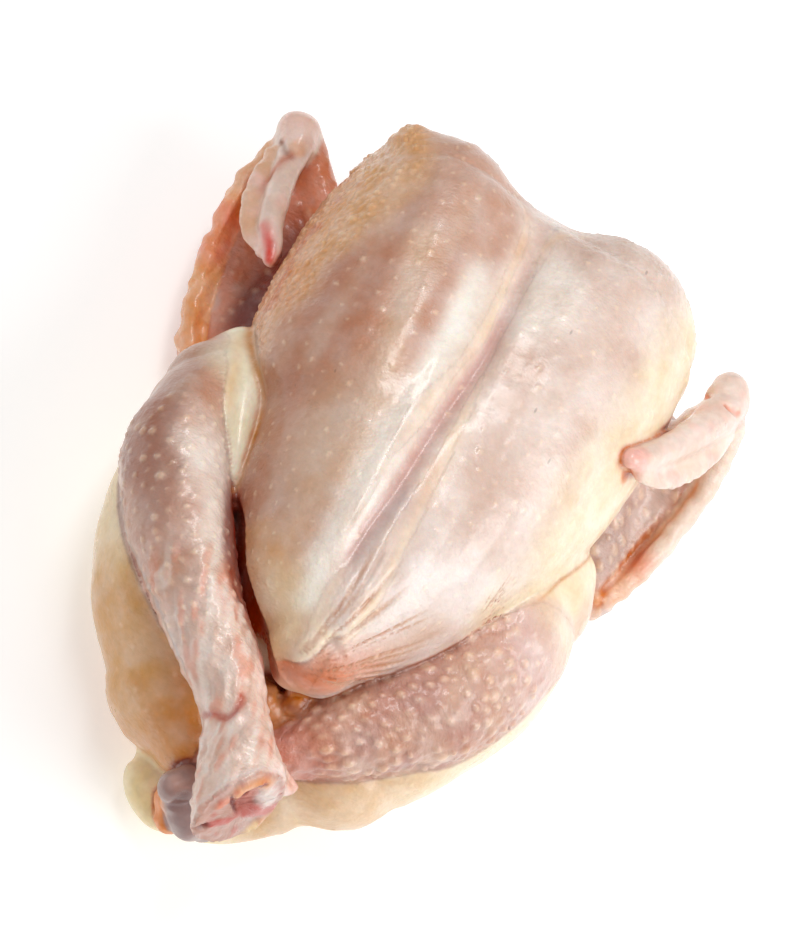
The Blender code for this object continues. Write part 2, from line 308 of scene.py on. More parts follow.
LEGS = {
    "thigh_end_r": [(-34, -62, 30, 14, 16), (-22, -77, 32, 13, 14.5), (-14, -84, 34, 10.5, 12)],
    "drum_r": [
        (-64.5, 21, 48, 9.5, 13.5), (-66.3, 9, 51.5, 11, 16.5), (-65, -4, 55, 14.6, 19),
        (-60, -16, 57, 17, 20), (-49.5, -33.5, 60, 16.4, 18.8), (-34, -53, 64, 13.2, 15),
        (-19, -68, 68, 12, 12.5), (-8, -81, 70, 9.8, 10.5), (-0.6, -93.5, 71, 12.4, 12.8),
        (4.5, -103.5, 72, 13.6, 14), (8.5, -110, 71.5, 14.2, 14), (12.5, -118, 71, 14.2, 14),
    ],
    "ankle_flap": [(9, -93, 73, 6, 5), (14.5, -91, 67.5, 4.5, 2.6), (19, -89.5, 62.5, 1.8, 1.4)],
    "knuckle": [(-11, -101, 41, 5.5, 6.2), (-8, -97.5, 42, 5.5, 6)],
    "joint": [(-8, -100, 34, 7, 6), (-1, -102, 29, 8, 7), (4, -100, 25, 6.5, 5.5)],
    "flesh": [(-9, -100, 28, 5.5, 6), (-6, -104, 23, 5, 5)],
}
DRUM_L = [
    (63, 15, 45, 14, 16), (62, -6, 51, 16, 19.5), (51, -35, 52, 17.5, 20),
    (37, -49.5, 51, 17, 19), (24, -63.5, 49.5, 14.5, 15), (13, -74.5, 46, 10, 11),
    (3, -85, 43, 10, 11), (-2, -92, 36, 9.5, 9.5), (-3, -98, 31, 8.5, 9),
]
FLANKS = {
    # away from the keel, y, above the middle, half width, and how much less than the full half height
    "r": [(23, 34, 0, 37, 0), (18, 16, 0, 29.5, 2.5), (14.5, -6, 2, 27.6, 5)],
    "l": [(23, 25, 0, 36, 1), (16, -8, 2, 27.2, 5)],
}


def breast_limb(name, side):
    """A breast, with its flank. side is -1 for the right one and 1 for the left one."""
    k = KEEL_X + side * 2
    z = BREAST_MIDDLE
    fore = LEFT_FORE if side > 0 else 0
    flank = [(k + side * out, y, z + up, wide, BREAST_HALF - less) for out, y, up, wide, less in FLANKS[name]]
    stations = [
        (k + side * 33 + fore, 105 - fore * 0.6, z, 26 + fore * 0.9, BREAST_HALF - 7),
        (k + side * 30 + fore * 0.4, 94 - fore * 0.5, z, 32.8 + fore * 1.4, BREAST_HALF - 2),
        (k + side * 27, 62, z, 37.4 + fore, BREAST_HALF),
        *flank,
        (k + side * 9, -36, z + 6, 19.7 - side * 2.5, BREAST_HALF - 14),
        (k + side * 3, -53, z + 10, 10, 14),
    ]
    return Limb(stations, 0.75, lean=-side * BREAST_LEAN)


def thigh_limb(side):
    x = BACK_X
    fore = LEFT_FORE if side > 0 else 0
    low = RIGHT_LOW if side < 0 else 0
    stations = [
        (x + side * (52 + low * 0.6), 12 + fore, 40, 23 - fore * 0.8, 26),
        (x + side * (52 + low * 0.6), -17 + fore, 36, 25, 30),
        (x + side * (42 + low * 0.5), -44 + fore - low * 0.5, 31, 25 - fore, 28),
        (x + side * 27, -64 + fore - low, 27, 22, 22),
    ]
    return Limb(stations)


def upper_arm(side):
    x = WINGS_X
    stations = [
        (x + side * 50, 92, 36, 14, 16),
        (x + side * 62, 66, 24, 12, 14),
        (x + side * 74, 41, 13, 9, 10),
    ]
    return Limb(stations)


def bird_limbs():
    """Every limb of the bird by name."""
    limbs = {name: Limb(stations) for name, stations in {**TORSO, **WINGS, **LEGS}.items()}
    limbs["trunk"] = Limb(TRUNK, 0.6, 0.6)
    limbs["keel"] = Limb(KEEL, 0.7)
    limbs["drum_l"] = Limb(DRUM_L, 1.0, 0.35)
    for name, side in (("r", -1), ("l", 1)):
        limbs["breast_" + name] = breast_limb(name, side)
        limbs["thigh_" + name] = thigh_limb(side)
        limbs["upper_" + name] = upper_arm(side)
    return limbs


LIMBS = bird_limbs()

# The cut face of the right ankle, which looks back and to the left

CUT_MIDDLE = np.array((6.1, -106.3, 72.6))
CUT_NORMAL = unit((0.687, -0.617, 0.386))
CUT_ACROSS = unit((0.668, 0.744, 0.0))
CUT_UP = np.cross(CUT_NORMAL, CUT_ACROSS)

# Lines on the skin that are both grooved and painted

STRIP_EDGE = [(3, -34, 98), (3.4, -39, 97.3), (4.2, -44.5, 95.8), (6.6, -51.6, 92.5)]
KEEL_END = [(-6, -63.4, 78), (-4.3, -63, 80.2), (1.3, -61.9, 85.1), (4.5, -55.5, 91.6), (6.6, -51.5, 93)]
KEEL_END_FACING = (0.5, -0.7, -0.5)
HOCK_ROUND = [(-17, -87, 68), (-14.3, -86.5, 75.6), (-11.7, -87, 78.5), (-9.6, -85.5, 80.2)]
WRIST_R = [(-82.4, 107.5, 48.4), (-79.5, 103.5, 51.5), (-77, 101.5, 53.5)]
WRIST_L = [(80, 100, 62), (82.3, 95, 68), (86.5, 95, 70.5), (91, 97, 69)]


class Crease:
    """A groove along a line, or a ridge if depth is negative. step lowers the skin on the side of facing."""

    def __init__(self, points, depth=0.0, width=1.5, step=0.0, facing=(0, -1, 0), reach=7.0, ends=0.12):
        self.points = points
        self.depth = depth
        self.width = width
        self.step = step
        self.facing = unit(facing)
        self.reach = reach if step else 0.0
        self.ends = ends
        margin = 3 * width + 2 * self.reach
        self.low = np.min(points, 0) - margin
        self.high = np.max(points, 0) + margin

    def cut(self, p):
        far, along, offset = track(p, self.points)
        fade = ramp(along, 0, self.ends) * ramp(1 - along, 0, self.ends)
        cut = self.depth * np.exp(-((far / self.width) ** 2))
        if self.step:
            side = ramp(offset @ self.facing, -1.6, 1.6)
            cut = cut + self.step * side * np.exp(-((far / self.reach) ** 2))
        return cut * fade


class Fan:
    """Fine wrinkles that run out from one place."""

    def __init__(self, middle, along, across, near, far, spread, depth):
        self.middle = np.array(middle, float)
        self.along, self.across = unit(along), unit(across)
        self.near, self.far = near, far
        self.spread, self.depth = spread, depth
        self.low, self.high = self.middle - far, self.middle + far

    def cut(self, p):
        q = p - self.middle
        x, y = q @ self.along, q @ self.across
        r = np.linalg.norm(q, axis=1)
        angle = np.arctan2(y, x)
        fade = ramp(r, 0.4 * self.near, self.near) * ramp(self.far - r, 0, 0.6 * self.far)
        fade = fade * ramp(self.spread - np.abs(angle), 0, 0.4)
        lines = np.stack([angle * 30, r * 0.03, angle * 0], 1)
        wrinkles = noise(lines, 1.0, 5) + 0.5 * noise(lines * (2.2, 1, 1), 1.0, 6)
        return self.depth * fade * np.maximum(wrinkles, -0.3)


CREASES = [
    # the valley beside the keel, the ridge of the keel and the strip of cartilage between them
    Crease(
        [
            (3, 112, 88), (4.5, 79, 98), (4.8, 51, 100), (1.8, 23, 100.5),
            (-0.3, -5, 100.3), (-2.2, -25, 98.5), (-1.5, -40, 96),
        ],
        2.3, 3.6, ends=0.22,
    ),
    Crease(
        [(0, 76, 100), (-4, 40, 102), (-8, 12, 102.7), (-8, -20, 99.7), (-6.5, -46, 93)],
        -1.2, 4.5, ends=0.3,
    ),
    Crease([(4, 0, 101), (4, -20, 99), (5, -40, 96.5), (7, -51, 93)], -0.8, 2.5, ends=0.4),
    Crease(STRIP_EDGE, -0.5, 0.9, ends=0.3),
    # the end of the keel, which stands over the salmon-coloured fold
    Crease(KEEL_END, 0.5, 1.3, 1.6, KEEL_END_FACING, 8, 0.2),
    # the hock of the right leg
    Crease(HOCK_ROUND, 1.1, 0.9),
    Crease([(-9.8, -85.8, 80.2), (-9.3, -81, 80.4), (-9.8, -76.5, 80.3)], 0.9, 0.8),
    # below the knobs of the wrists
    Crease(WRIST_R, 1.3, 1.3),
    Crease([(-77.5, 102, 53.3), (-79, 96, 52), (-79, 90, 51)], 0.5, 1.4),
    Crease(WRIST_L, 1.5, 1.2),
    # inside the thick front edges of the forearms
    Crease([(-84.5, 101, 36), (-82.5, 84, 31.5), (-79.5, 66, 28), (-75, 50, 25), (-70, 40, 22)], 2.2, 2.0),
    Crease(
        [
            (94.5, 84, 41), (92.6, 74, 34.5), (91.2, 66, 29.2),
            (89, 57, 25.2), (86.6, 45, 23.4), (83.5, 36, 20.5),
        ],
        2.2, 1.7,
    ),
    # between the knuckle and the cartilage below it
    Crease([(-7.5, -104, 48), (-7, -106, 42), (-6.5, -107, 37)], 1.8, 2.2),
]
FANS = [
    Fan((-4, -65, 81), (0.55, 0.75, 0.2), (-0.6, 0.5, 0.6), near=12, far=58, spread=0.9, depth=0.7),
    Fan((43, -21, 76), (0.6, 0.6, -0.4), (0.5, -0.7, -0.3), near=9, far=26, spread=1.6, depth=0.5),
]


# The whole bird as one field. The last number of each join is the width of its rounding.

SMALL_LIMBS = {"thigh_end_r": 6, "fat_1": 1, "fat_2": 1, "fold": 2, "flank_l": 4, "fat_r": 1.5}


def torso(d):
    breast = join(join(d["breast_r"], d["breast_l"], 7), d["keel"], 9)
    breast = join(breast, d["crop_r"], 10)
    body = join(join(d["trunk"], d["tail"], 10), d["neck"], 7)
    body = join(body, breast, 8)
    return np.maximum(body, HAND_GAP - join(d["hand_l"], d["flap_l"], 2))


def wing(d, side):
    arm = join(join(d["upper_" + side], d["web_" + side], 8), d["fore_" + side], 6)
    arm = join(join(arm, d["rim_" + side], 1.5), d["front_" + side], 3)
    hand = join(d["hand_" + side], d["flap_" + side], 4 if side == "l" else 2)
    return join(arm, join(hand, d["knob_" + side], 2), 2)


def with_left_leg(body, d, p):
    t, _, _ = LIMBS["drum_l"].local(p)
    leg = join(join(d["drum_l"], d["joint"], 3), d["flesh"], 1)
    knee = 1 - ramp(t, 0, 45)
    return join(body, join(leg, d["knuckle"], 1), 1.0 + 9 * knee)


def with_right_leg(body, d, p):
    """The body with its right leg, which is cut off flat and has a slit between it and the breast."""
    t, u, _ = LIMBS["drum_r"].local(p)
    slit = SLIT * ramp(t, 38, 62) * ramp(p[:, 2], 50, 64)
    body = np.where(slit > 0, np.maximum(body, slit - d["drum_r"]), body)
    inner = 4 * ramp(-u, 2, 9) * ramp(t, 10, 40) * (1 - ramp(p[:, 2], 52, 62))
    leg = join(d["drum_r"], d["ankle_flap"], 3)
    leg = np.maximum(leg, (p - CUT_MIDDLE) @ CUT_NORMAL)
    knee = 1 - ramp(t, 4, 38)
    return join(body, leg, 1.0 + 9 * knee + inner)


def bird_field(p):
    """How far each place is outside the bird's skin, negative inside it."""
    d = {name: limb.distance(p) for name, limb in LIMBS.items()}
    body = torso(d)
    for side in ("r", "l"):
        body = join(body, wing(d, side), 2.5)
        body = join(body, d["thigh_" + side], 5)
    for name, width in SMALL_LIMBS.items():
        body = join(body, d[name], width)
    body = with_left_leg(body, d, p)
    body = with_right_leg(body, d, p)
    for mark in CREASES + FANS:
        near = np.flatnonzero(((p > mark.low) & (p < mark.high)).all(1) & (np.abs(body) < 8))
        if len(near):
            body[near] += mark.cut(p[near])
    return np.maximum(body, -p[:, 2])


# Meshing


def layers(values, starts):
    """The slices of a grid without its last layer on the axes that start at 0, or its first on those at 1."""
    return tuple(
        slice(starts[axis], size - 1 + starts[axis]) if axis in starts else slice(None)
        for axis, size in enumerate(values.shape)
    )


def net(values, low):
    """A mesh of quads where the values change sign, with one point in each cell that the surface crosses."""
    inside = values < 0
    cells = tuple(n - 1 for n in values.shape)
    total = np.zeros((*cells, 3), np.float32)
    count = np.zeros(cells, np.float32)
    grid = np.indices(values.shape).astype(np.float32)
    crossings = []
    for a in range(3):
        b, c = (a + 1) % 3, (a + 2) % 3
        near, far = layers(values, {a: 0}), layers(values, {a: 1})
        v0, v1 = values[near], values[far]
        crossed = inside[near] != inside[far]
        share = np.where(crossed, v0 / np.where(crossed, v0 - v1, 1), 0)
        crossings.append((crossed, inside[near]))
        place = [grid[n][near] for n in range(3)]
        place[a] = place[a] + share
        for db, dc in np.ndindex(2, 2):
            part = layers(values, {b: db, c: dc})
            mask = crossed[part]
            count += mask
            for n in range(3):
                total[..., n] += np.where(mask, place[n][part], 0)
    used = count > 0
    number = np.full(cells, -1, np.int64)
    number[used] = np.arange(used.sum())
    points = total[used] / count[used][:, None] * CELL + low
    quads = []
    for a, (crossed, first_inside) in enumerate(crossings):
        b, c = (a + 1) % 3, (a + 2) % 3
        i = np.argwhere(crossed)
        i = i[(i[:, b] > 0) & (i[:, c] > 0) & (i[:, b] < cells[b]) & (i[:, c] < cells[c])]
        corners = []
        for db, dc in ((-1, -1), (0, -1), (0, 0), (-1, 0)):
            j = i.copy()
            j[:, b] += db
            j[:, c] += dc
            corners.append(number[tuple(j.T)])
        quad = np.stack(corners, 1)
        flip = ~first_inside[tuple(i.T)]
        quad[flip] = quad[flip][:, ::-1]
        quads.append(quad)
    return points, np.concatenate(quads)


def without_gaps(values):
    """The values with the gaps and bridges filled that are too thin for a clean mesh."""
    solid = -0.25 * CELL
    for _ in range(30):
        inside = values < 0
        bad = np.zeros(values.shape, bool)
        for a in range(3):
            turns = ((0, 0), (1, 0), (1, 1), (0, 1))
            corners = [layers(values, {a: da, (a + 1) % 3: db}) for da, db in turns]
            c = [inside[part] for part in corners]
            crossed = (c[0] == c[2]) & (c[1] == c[3]) & (c[0] != c[1])
            for part in corners:
                bad[part] |= crossed
        corners = [layers(values, dict(enumerate(starts))) for starts in np.ndindex(2, 2, 2)]
        count = sum(inside[part].astype(np.int8) for part in corners)
        for part, opposite in zip(corners[:4], corners[::-1]):
            same = inside[part] == inside[opposite]
            crossed = same & (count == np.where(inside[part], 2, 6))
            for corner in corners:
                bad[corner] |= crossed
        bad &= ~inside
        if not bad.any():
            break
        values[bad] = solid
    return values


def mesh_of(points, quads, name):
    """A mesh of quads, made from arrays."""
    mesh = bpy.data.meshes.new(name)
    mesh.vertices.add(len(points))
    mesh.vertices.foreach_set("co", np.asarray(points, np.float32).ravel())
    mesh.loops.add(len(quads) * 4)
    mesh.loops.foreach_set("vertex_index", np.asarray(quads, np.int32).ravel())
    mesh.polygons.add(len(quads))
    mesh.polygons.foreach_set("loop_start", np.arange(0, len(quads) * 4, 4, dtype=np.int32))
    mesh.update(calc_edges=True)
    return mesh


def coordinates(mesh):
    """The places of a mesh's points, one in each row."""
    flat = np.empty(len(mesh.vertices) * 3, np.float32)
    mesh.vertices.foreach_get("co", flat)
    return flat.reshape(-1, 3).astype(float)


def slope(p, step=0.15):
    """The field and its gradient."""
    here = bird_field(p)
    rise = np.stack([bird_field(p + step * np.eye(3)[n]) - here for n in range(3)], 1) / step
    return here, rise


def grown_mesh():
    """The bird's skin before its fine detail."""
    low = np.array(GRID_LOW)
    shape = np.ceil((np.array(GRID_HIGH) - low) / CELL).astype(int)
    axes = [low[n] + CELL * np.arange(shape[n]) for n in range(3)]
    values = np.empty(shape, np.float32)
    for i, x in enumerate(axes[0]):
        y, z = np.meshgrid(axes[1], axes[2], indexing="ij")
        p = np.stack([np.full(y.size, x), y.ravel(), z.ravel()], 1)
        values[i] = bird_field(p).reshape(y.shape)
    points, quads = net(without_gaps(values), low)
    mesh = mesh_of(points, quads, "bird")
    bird = bpy.data.objects.new("bird", mesh)
    bpy.context.scene.collection.objects.link(bird)
    halve = bird.modifiers.new("halve", "SUBSURF")
    halve.levels = halve.render_levels = 1
    fine = bpy.data.meshes.new_from_object(bird.evaluated_get(bpy.context.evaluated_depsgraph_get()))
    bird.modifiers.clear()
    bird.data = fine
    bpy.data.meshes.remove(mesh)
    p = coordinates(fine)
    for _ in range(2):
        d, rise = slope(p)
        step = d[:, None] * rise / np.maximum((rise**2).sum(1), 0.5)[:, None]
        size = np.linalg.norm(step, axis=1)[:, None]
        p -= step * np.minimum(1, 0.2 * CELL / np.maximum(size, 1e-6))
    return bird, p


# Skin: its relief and its colours

PAINT = {
    "back": (240, 205, 178), "cream": (251, 230, 199), "pale": (238, 216, 204),
    "white": (246, 234, 228), "mauve": (197, 142, 118), "rose": (213, 176, 158),
    "sand": (228, 198, 174), "ochre": (248, 206, 156), "shoulder": (226, 176, 134),
    "armpit": (222, 162, 118), "rust": (206, 122, 86), "valley": (206, 158, 148),
    "lilac": (198, 174, 172), "ridge": (255, 246, 236), "salmon": (224, 136, 96),
    "tan": (206, 160, 130), "thigh": (250, 222, 176), "thigh_low": (228, 178, 126),
    "thigh_deep": (222, 158, 102), "flank": (253, 232, 200), "lens": (255, 242, 214),
    "drum": (208, 162, 142), "purple": (176, 126, 108), "drum_pale_and_sheen": (244, 228, 216),
    "ankle": (238, 206, 190), "streak": (232, 160, 136), "knee": (230, 198, 190),
    "drum_dark": (186, 134, 122), "drum_red": (206, 134, 116), "wing": (214, 164, 146),
    "wing_dark": (222, 144, 116), "wing_blood_and_shade": (112, 36, 28), "wing_grey": (218, 192, 182),
    "rim": (254, 192, 146), "rim_red": (252, 146, 108), "rim_pale": (252, 228, 212),
    "rim_pink": (246, 160, 136), "front": (226, 152, 122), "hand": (244, 218, 204),
    "hand_pink": (250, 208, 194), "flap": (236, 184, 148), "tip": (232, 64, 44),
    "tip_left": (252, 190, 176), "rump": (255, 232, 186), "crevice_shade": (206, 120, 92),
    "cut_line": (190, 66, 38), "deep": (140, 56, 36), "gap": (150, 52, 30), "slit_red_and_shade": (226, 60, 30),
    "brown": (150, 88, 62), "amber": (206, 140, 84), "fat": (206, 132, 70), "fat_dark": (150, 70, 34),
    "flesh": (238, 148, 82), "cartilage": (160, 130, 126), "knuckle": (158, 128, 126),
    "tendon": (186, 176, 176), "membrane": (202, 160, 146), "granular": (204, 92, 80),
    "blood": (108, 26, 22), "socket": (186, 96, 80), "ring": (236, 158, 96), "condyle": (236, 216, 208),
    "muscle": (204, 106, 96), "fringe": (238, 200, 140), "follicle": (250, 226, 196),
    "orange": (236, 158, 98), "grey": (188, 168, 162), "hollow": (112, 70, 62),
    "sheen": (252, 240, 228), "fold_line": (222, 122, 46),
}

VALLEY = [
    (3.4, 104, 92), (4.5, 79, 98), (4.8, 51, 99.7), (1.8, 23, 100.3),
    (-0.3, -5, 100), (-2.2, -25, 98), (-1.8, -45, 95.5),
]
# The ridge of the keel. The paint along it is a painted highlight.
RIDGE = [
    (-9.5, 74, 103), (-7.2, 39, 103.5), (-6.5, 9, 103.8),
    (-5.7, -12, 101.3), (-4.7, -32, 97.5), (-6.5, -46, 92.5),
]
# A painted highlight beside the valley of the keel.
SHEEN = [
    (-4, 66, 102.2), (-6, 44, 104), (-8.5, 27, 103.7), (-9, 12, 103.4),
    (-9, -1, 103), (-9.5, -19, 100.5), (-10, -36, 96),
]
STRIP = [(5, -6, 100.7), (5, -20, 99.7), (4.5, -34, 98), (5, -50, 94)]
STRIP_FLANK = [(9, -10, 100.5), (9.4, -21, 100.2), (10.5, -34, 98.5)]
STRIPE = [
    (-29.7, 74, 103), (-27.1, 58, 103.5), (-23.7, 40, 103.4),
    (-17.5, 17.5, 102.5), (-11.2, -8.4, 101.4),
]
# Painted shade along the edge of the right breast beside the slit.
BREAST_EDGE_SHADE = [(-28, -39, 76), (-22, -43, 79), (-16, -49, 80), (-11, -54, 80)]
FOLD = [(-1, -64, 80), (8, -62, 82), (16, -54, 82), (24, -43, 84), (33, -30, 84)]
SHOULDER_EDGE = [
    # y and x of where the yellow shoulder ends
    (24, -55), (56, -51), (70, -45), (92, -39), (104, -38), (112, -44),
]
LENS_MIDDLE = [(-63, 30, 66), (-59.5, 18, 68.5), (-55, 6, 69)]
LENS_END = [(-54.5, 2, 68), (-50, -4, 68), (-45, -11, 67)]
LEG_GAP = [
    (-50, 4, 66), (-45, -8, 66), (-38, -22, 66), (-28, -38, 66),
    (-17, -53, 64), (-9, -64, 62), (-4, -70, 58),
]
TENDON = [
    (-76, -12, 44), (-73.7, -20, 45), (-65, -40, 54),
    (-53.5, -52.7, 60), (-39.7, -65, 66), (-27.3, -76.4, 68.5),
]
HOCK = [*HOCK_ROUND, (-9.2, -81, 80.4), (-9.8, -78.5, 80.3)]
WING_CLEFT = [(-60, 94, 52), (-61, 76, 44), (-61, 56, 38), (-62, 42, 36)]
HAND_CLEFT = [(-77.5, 102, 53.3), (-78.8, 96, 52), (-79.6, 86, 50)]
HAND_TIP = [(-72.4, 71.8, 58), (-69, 66, 60), (-66.8, 62, 59.5)]
RIM_FOLD = [
    (95.5, 84, 41), (93.6, 73.6, 34.5), (92.2, 65.6, 29.2),
    (90, 56.6, 25.2), (87.6, 44.6, 23.4), (84.5, 35.6, 20.5),
]
ROWS_ALONG = np.array((0.857, 0.426, 0.29))  # the rows of goose skin over the right shoulder, and across them
ROWS_ACROSS = np.array((-0.507, 0.797, 0.329))
SPOTS = {
    # middle, radius, and the share of the radius over which the spot fades
    "breast_side": ((-23, -2, 98), (25, 46, 34), 0.85),
    # the next spot is a painted sheen at the top of the breast by the neck
    "breast_neck": ((13, 78, 101), (16, 24, 14), 0.6),
    "breast_tip": ((-11, -50, 86), 17, 0.6),
    "knee_r": ((-66, 16, 60), (19, 24, 20), 0.3),
    "knee_top": ((-59, 22, 64), 15, 0.8),
    "arm_grey": ((-73, 58, 27), (8, 18, 10), 0.6),
    "arm_blood_and_shade": ((-60, 62, 36), (14, 46, 28), 0.6),
    "rim_middle": ((-85, 76, 30), (12, 18, 12), 0.6),
    "rim_low": ((91, 52, 27), (8, 11, 8), 0.9),
    "wrist_back": ((-85, 103, 38), (12, 16, 16), 0.6),
    "wrist_top": ((-76.5, 106, 53), 4.5, 0.6),
    "tip_l": ((62, 51, 89), 8, 0.6),
    "tip_under_shade": ((64, 48.5, 82), (4, 3, 5), 0.6),
    "knuckle_top": ((-12, -101, 47), (6, 4, 3), 0.9),
    "knuckle_side": ((-14, -106, 31), (7, 9, 8), 0.6),
    "knuckle_gap_shade": ((-7, -105.5, 43), (4, 7, 7), 0.6),
}
CUT_PARTS = [
    # paint, place across and up, half sizes, turn and how far it stands out
    ("ring", (3.4, 7.6), (6.6, 5.2), -0.1, 0.9),
    ("streak", (-5.8, 5.6), (3.2, 1.7), 0.6, 0.5),
    ("granular", (-6.2, -4.4), (5.2, 1.7), -0.1, 0.4),
    ("muscle", (6.4, -4.8), (8.4, 2.8), -0.3, 0.3),
    ("socket", (2.6, 2.4), (4.2, 6.0), -0.3, -1.3),
    ("condyle", (8.8, 1.4), (3.6, 5.4), 0.2, 0.6),
    ("blood", (-2.5, 3.2), (0.8, 5.6), 0.25, -0.9),
    ("blood", (1.6, 6.0), (0.7, 2.2), -0.8, -0.5),
    ("deep", (5.9, 8.8), (1.9, 1.0), 0.1, -0.6),
    ("blood", (-11.6, -4.2), (2.0, 1.3), 0.1, -1.8),
    ("fringe", (8.6, -11.6), (6.8, 2.8), 0.45, 0.8),
]


def linear(colour):
    """A colour given as 0 to 255 values on a screen, as the numbers that a shader takes."""
    c = np.array(colour) / 255
    return np.where(c <= 0.04045, c / 12.92, ((c + 0.055) / 1.055) ** 2.4)


def staggered(u, v, step_u, step_v, jitter, seed):
    """The distance to the nearest spot in staggered rows, which stray by the jitter, and its strength."""
    row = np.round(v / step_v).astype(np.int64)
    best = np.full(len(u), 1e9)
    strength = np.zeros(len(u))
    for dj in (-1, 0, 1):
        j = row + dj
        shove = 0.5 * (j % 2)
        column = np.round(u / step_u - shove).astype(np.int64)
        for di in (-1, 0, 1):
            i = column + di
            su = (i + shove + jitter * lattice(i, j, 0 * i, seed)) * step_u
            sv = (j + jitter * lattice(i, j, 0 * i, seed + 1)) * step_v
            far = np.hypot(u - su, v - sv) / (1 + 0.35 * lattice(i, j, 0 * i, seed + 2))
            near = far < best
            best[near] = far[near]
            strength[near] = (0.65 + 0.35 * lattice(i, j, 0 * i, seed + 3))[near]
    return best, strength


def round_limb(name, p, radius):
    """Places on a limb as millimetres along it and millimetres round it, and the angle round it."""
    limb = LIMBS[name]
    t, u, v = limb.local(p)
    held = np.clip(t, limb.t[0], limb.t[-1])
    angle = np.arctan2(v / np.interp(held, limb.t, limb.b), u / np.interp(held, limb.t, limb.a))
    return t, angle * radius, angle


class Skin:
    """The skin's places and what is worked out there: how far each limb is, its relief and its colours."""

    def __init__(self, p, n):
        self.p = p
        self.d = {name: limb.distance(p) for name, limb in LIMBS.items()}
        self.breast = np.minimum(self.nearest("breast_r", "breast_l", "keel"), self.d["crop_r"] - 2)
        self.nook = 1 - np.clip(bird_field(p + 3.0 * n) / 3.0, 0, 1)
        self.tint = np.tile(linear(PAINT["back"]), (len(p), 1))
        self.dot, self.lift, self.wrinkled, self.pebbled, self.speckled = np.zeros((5, len(p)))
        self.lay = p.copy()
        self.zones = zones_of(self)
        self.face = Face(self)

    def nearest(self, *names):
        return np.min([self.d[name] for name in names], axis=0)

    def on(self, *names, soft=2.5):
        """1 on the limbs named, falling to 0 a short way off."""
        return 1 - ramp(self.nearest(*names), 0.4, 0.4 + soft)

    def seam(self, names, others, width):
        """1 where two groups of limbs meet, falling to 0 over a width."""
        a, b = self.nearest(*names), self.nearest(*others)
        return np.exp(-(((a - b) / width) ** 2)) * (1 - ramp(np.maximum(a, b), 2, 5))

    def spot(self, name):
        middle, radius, soft = SPOTS[name]
        far = np.linalg.norm((self.p - middle) / radius, axis=1)
        return 1 - ramp(far, 1 - soft, 1)

    def line(self, points, width):
        """1 on a line, falling to 0 on both sides."""
        near = within(self.p, np.min(points, 0) - 3 * width, np.max(points, 0) + 3 * width)
        mask = np.zeros(len(self.p))
        if len(near):
            far, _, _ = track(self.p[near], points)
            mask[near] = np.exp(-((far / width) ** 2))
        return mask

    def beyond(self, points, facing, reach=14):
        """0 close to a line on the side that facing points away from, and 1 elsewhere."""
        near = within(self.p, np.min(points, 0) - reach, np.max(points, 0) + reach)
        mask = np.ones(len(self.p))
        far, _, offset = track(self.p[near], points)
        mask[near] = np.maximum(ramp(offset @ np.array(facing), -0.4, 0.5), ramp(far, 0.8 * reach, reach))
        return mask

    def patchy(self, size, seed, low=-0.3, high=0.4):
        return ramp(noise(self.p, size, seed), low, high)

    def blend(self, paint, mask):
        mask = np.clip(mask, 0, 1)[:, None]
        self.tint = self.tint * (1 - mask) + linear(PAINT[paint]) * mask

    def bumps(self, mask, u, v, step, height, width, seed, jitter=0.22, pale=1.0):
        """Raised follicles in staggered rows."""
        near = np.flatnonzero(mask > 0.02)
        far, strength = staggered(u[near], v[near], step, step * 0.8, jitter, seed)
        bump = (1 - ramp(far, 0.2 * width, 1.35 * width)) * mask[near] * strength
        self.lift[near] += bump * height
        self.dot[near] = np.maximum(self.dot[near], bump * np.broadcast_to(pale, mask.shape)[near])


class Face:
    """The cut face of the right ankle, with its own axes."""

    def __init__(self, skin):
        q = skin.p - CUT_MIDDLE
        self.a, self.b = q @ CUT_ACROSS, q @ CUT_UP
        self.mask = skin.zones["cut"]

    def oval(self, a, b, half_a, half_b, turn=0.0, soft=0.35):
        da, db = self.a - a, self.b - b
        u = da * math.cos(turn) + db * math.sin(turn)
        v = db * math.cos(turn) - da * math.sin(turn)
        return self.mask * (1 - ramp(np.hypot(u / half_a, v / half_b), 1 - soft, 1 + soft))


def both(*names):
    """The names of the limbs of both sides."""
    return [name + side for name in names for side in ("_r", "_l")]


def zones_of(skin):
    """Which part of the bird each place is on."""
    leg_r, leg_l = skin.on("drum_r", "ankle_flap"), skin.on("drum_l")
    lens = ramp(skin.d["drum_r"] - skin.d["fat_r"], -1.0, 0.6) * skin.on("fat_r")
    leg_r = np.maximum(leg_r, skin.spot("knee_r")) * (1 - lens)
    breast = (1 - ramp(skin.breast, 0.5, 3)) * (1 - leg_r) * (1 - leg_l) * (1 - lens)
    hands = skin.on(*both("hand", "flap", "knob"), soft=1.5)
    wings = skin.on(*both("rim", "web", "fore", "front", "upper"))
    wings = np.maximum(wings, skin.on(*both("web", "upper", "fore"), soft=7))
    x, y, _ = skin.p.T
    edge = np.interp(y, *np.array(SHOULDER_EDGE, float).T) - x + 3 * noise(skin.p, 9, 75)
    return {
        "leg_r": leg_r,
        "leg_l": leg_l,
        "lens": lens,
        "thigh_r": skin.on("thigh_r", "thigh_end_r", soft=4) * (1 - leg_r),
        "thigh_l": skin.on("thigh_l", soft=4) * (1 - leg_l),
        "breast": breast,
        "lobe_r": breast * ramp(-x, -10, -4),
        "lobe_l": breast * ramp(x, 4, 10),
        "shoulder": breast * ramp(edge, -6, 5),
        "wings": wings * (1 - hands) * (1 - breast),
        "hands": hands,
        "rims": skin.on("rim_r", "rim_l", soft=1.2) * (1 - hands),
        "flaps": skin.on("flap_r", "flap_l", soft=1),
        "fat": skin.on("fat_1", "fat_2", soft=1.5),
        "flesh": skin.on("flesh", soft=1.5),
        "cut": leg_r * ramp((skin.p - CUT_MIDDLE) @ CUT_NORMAL, -1.2, -0.3),
    }


# Relief


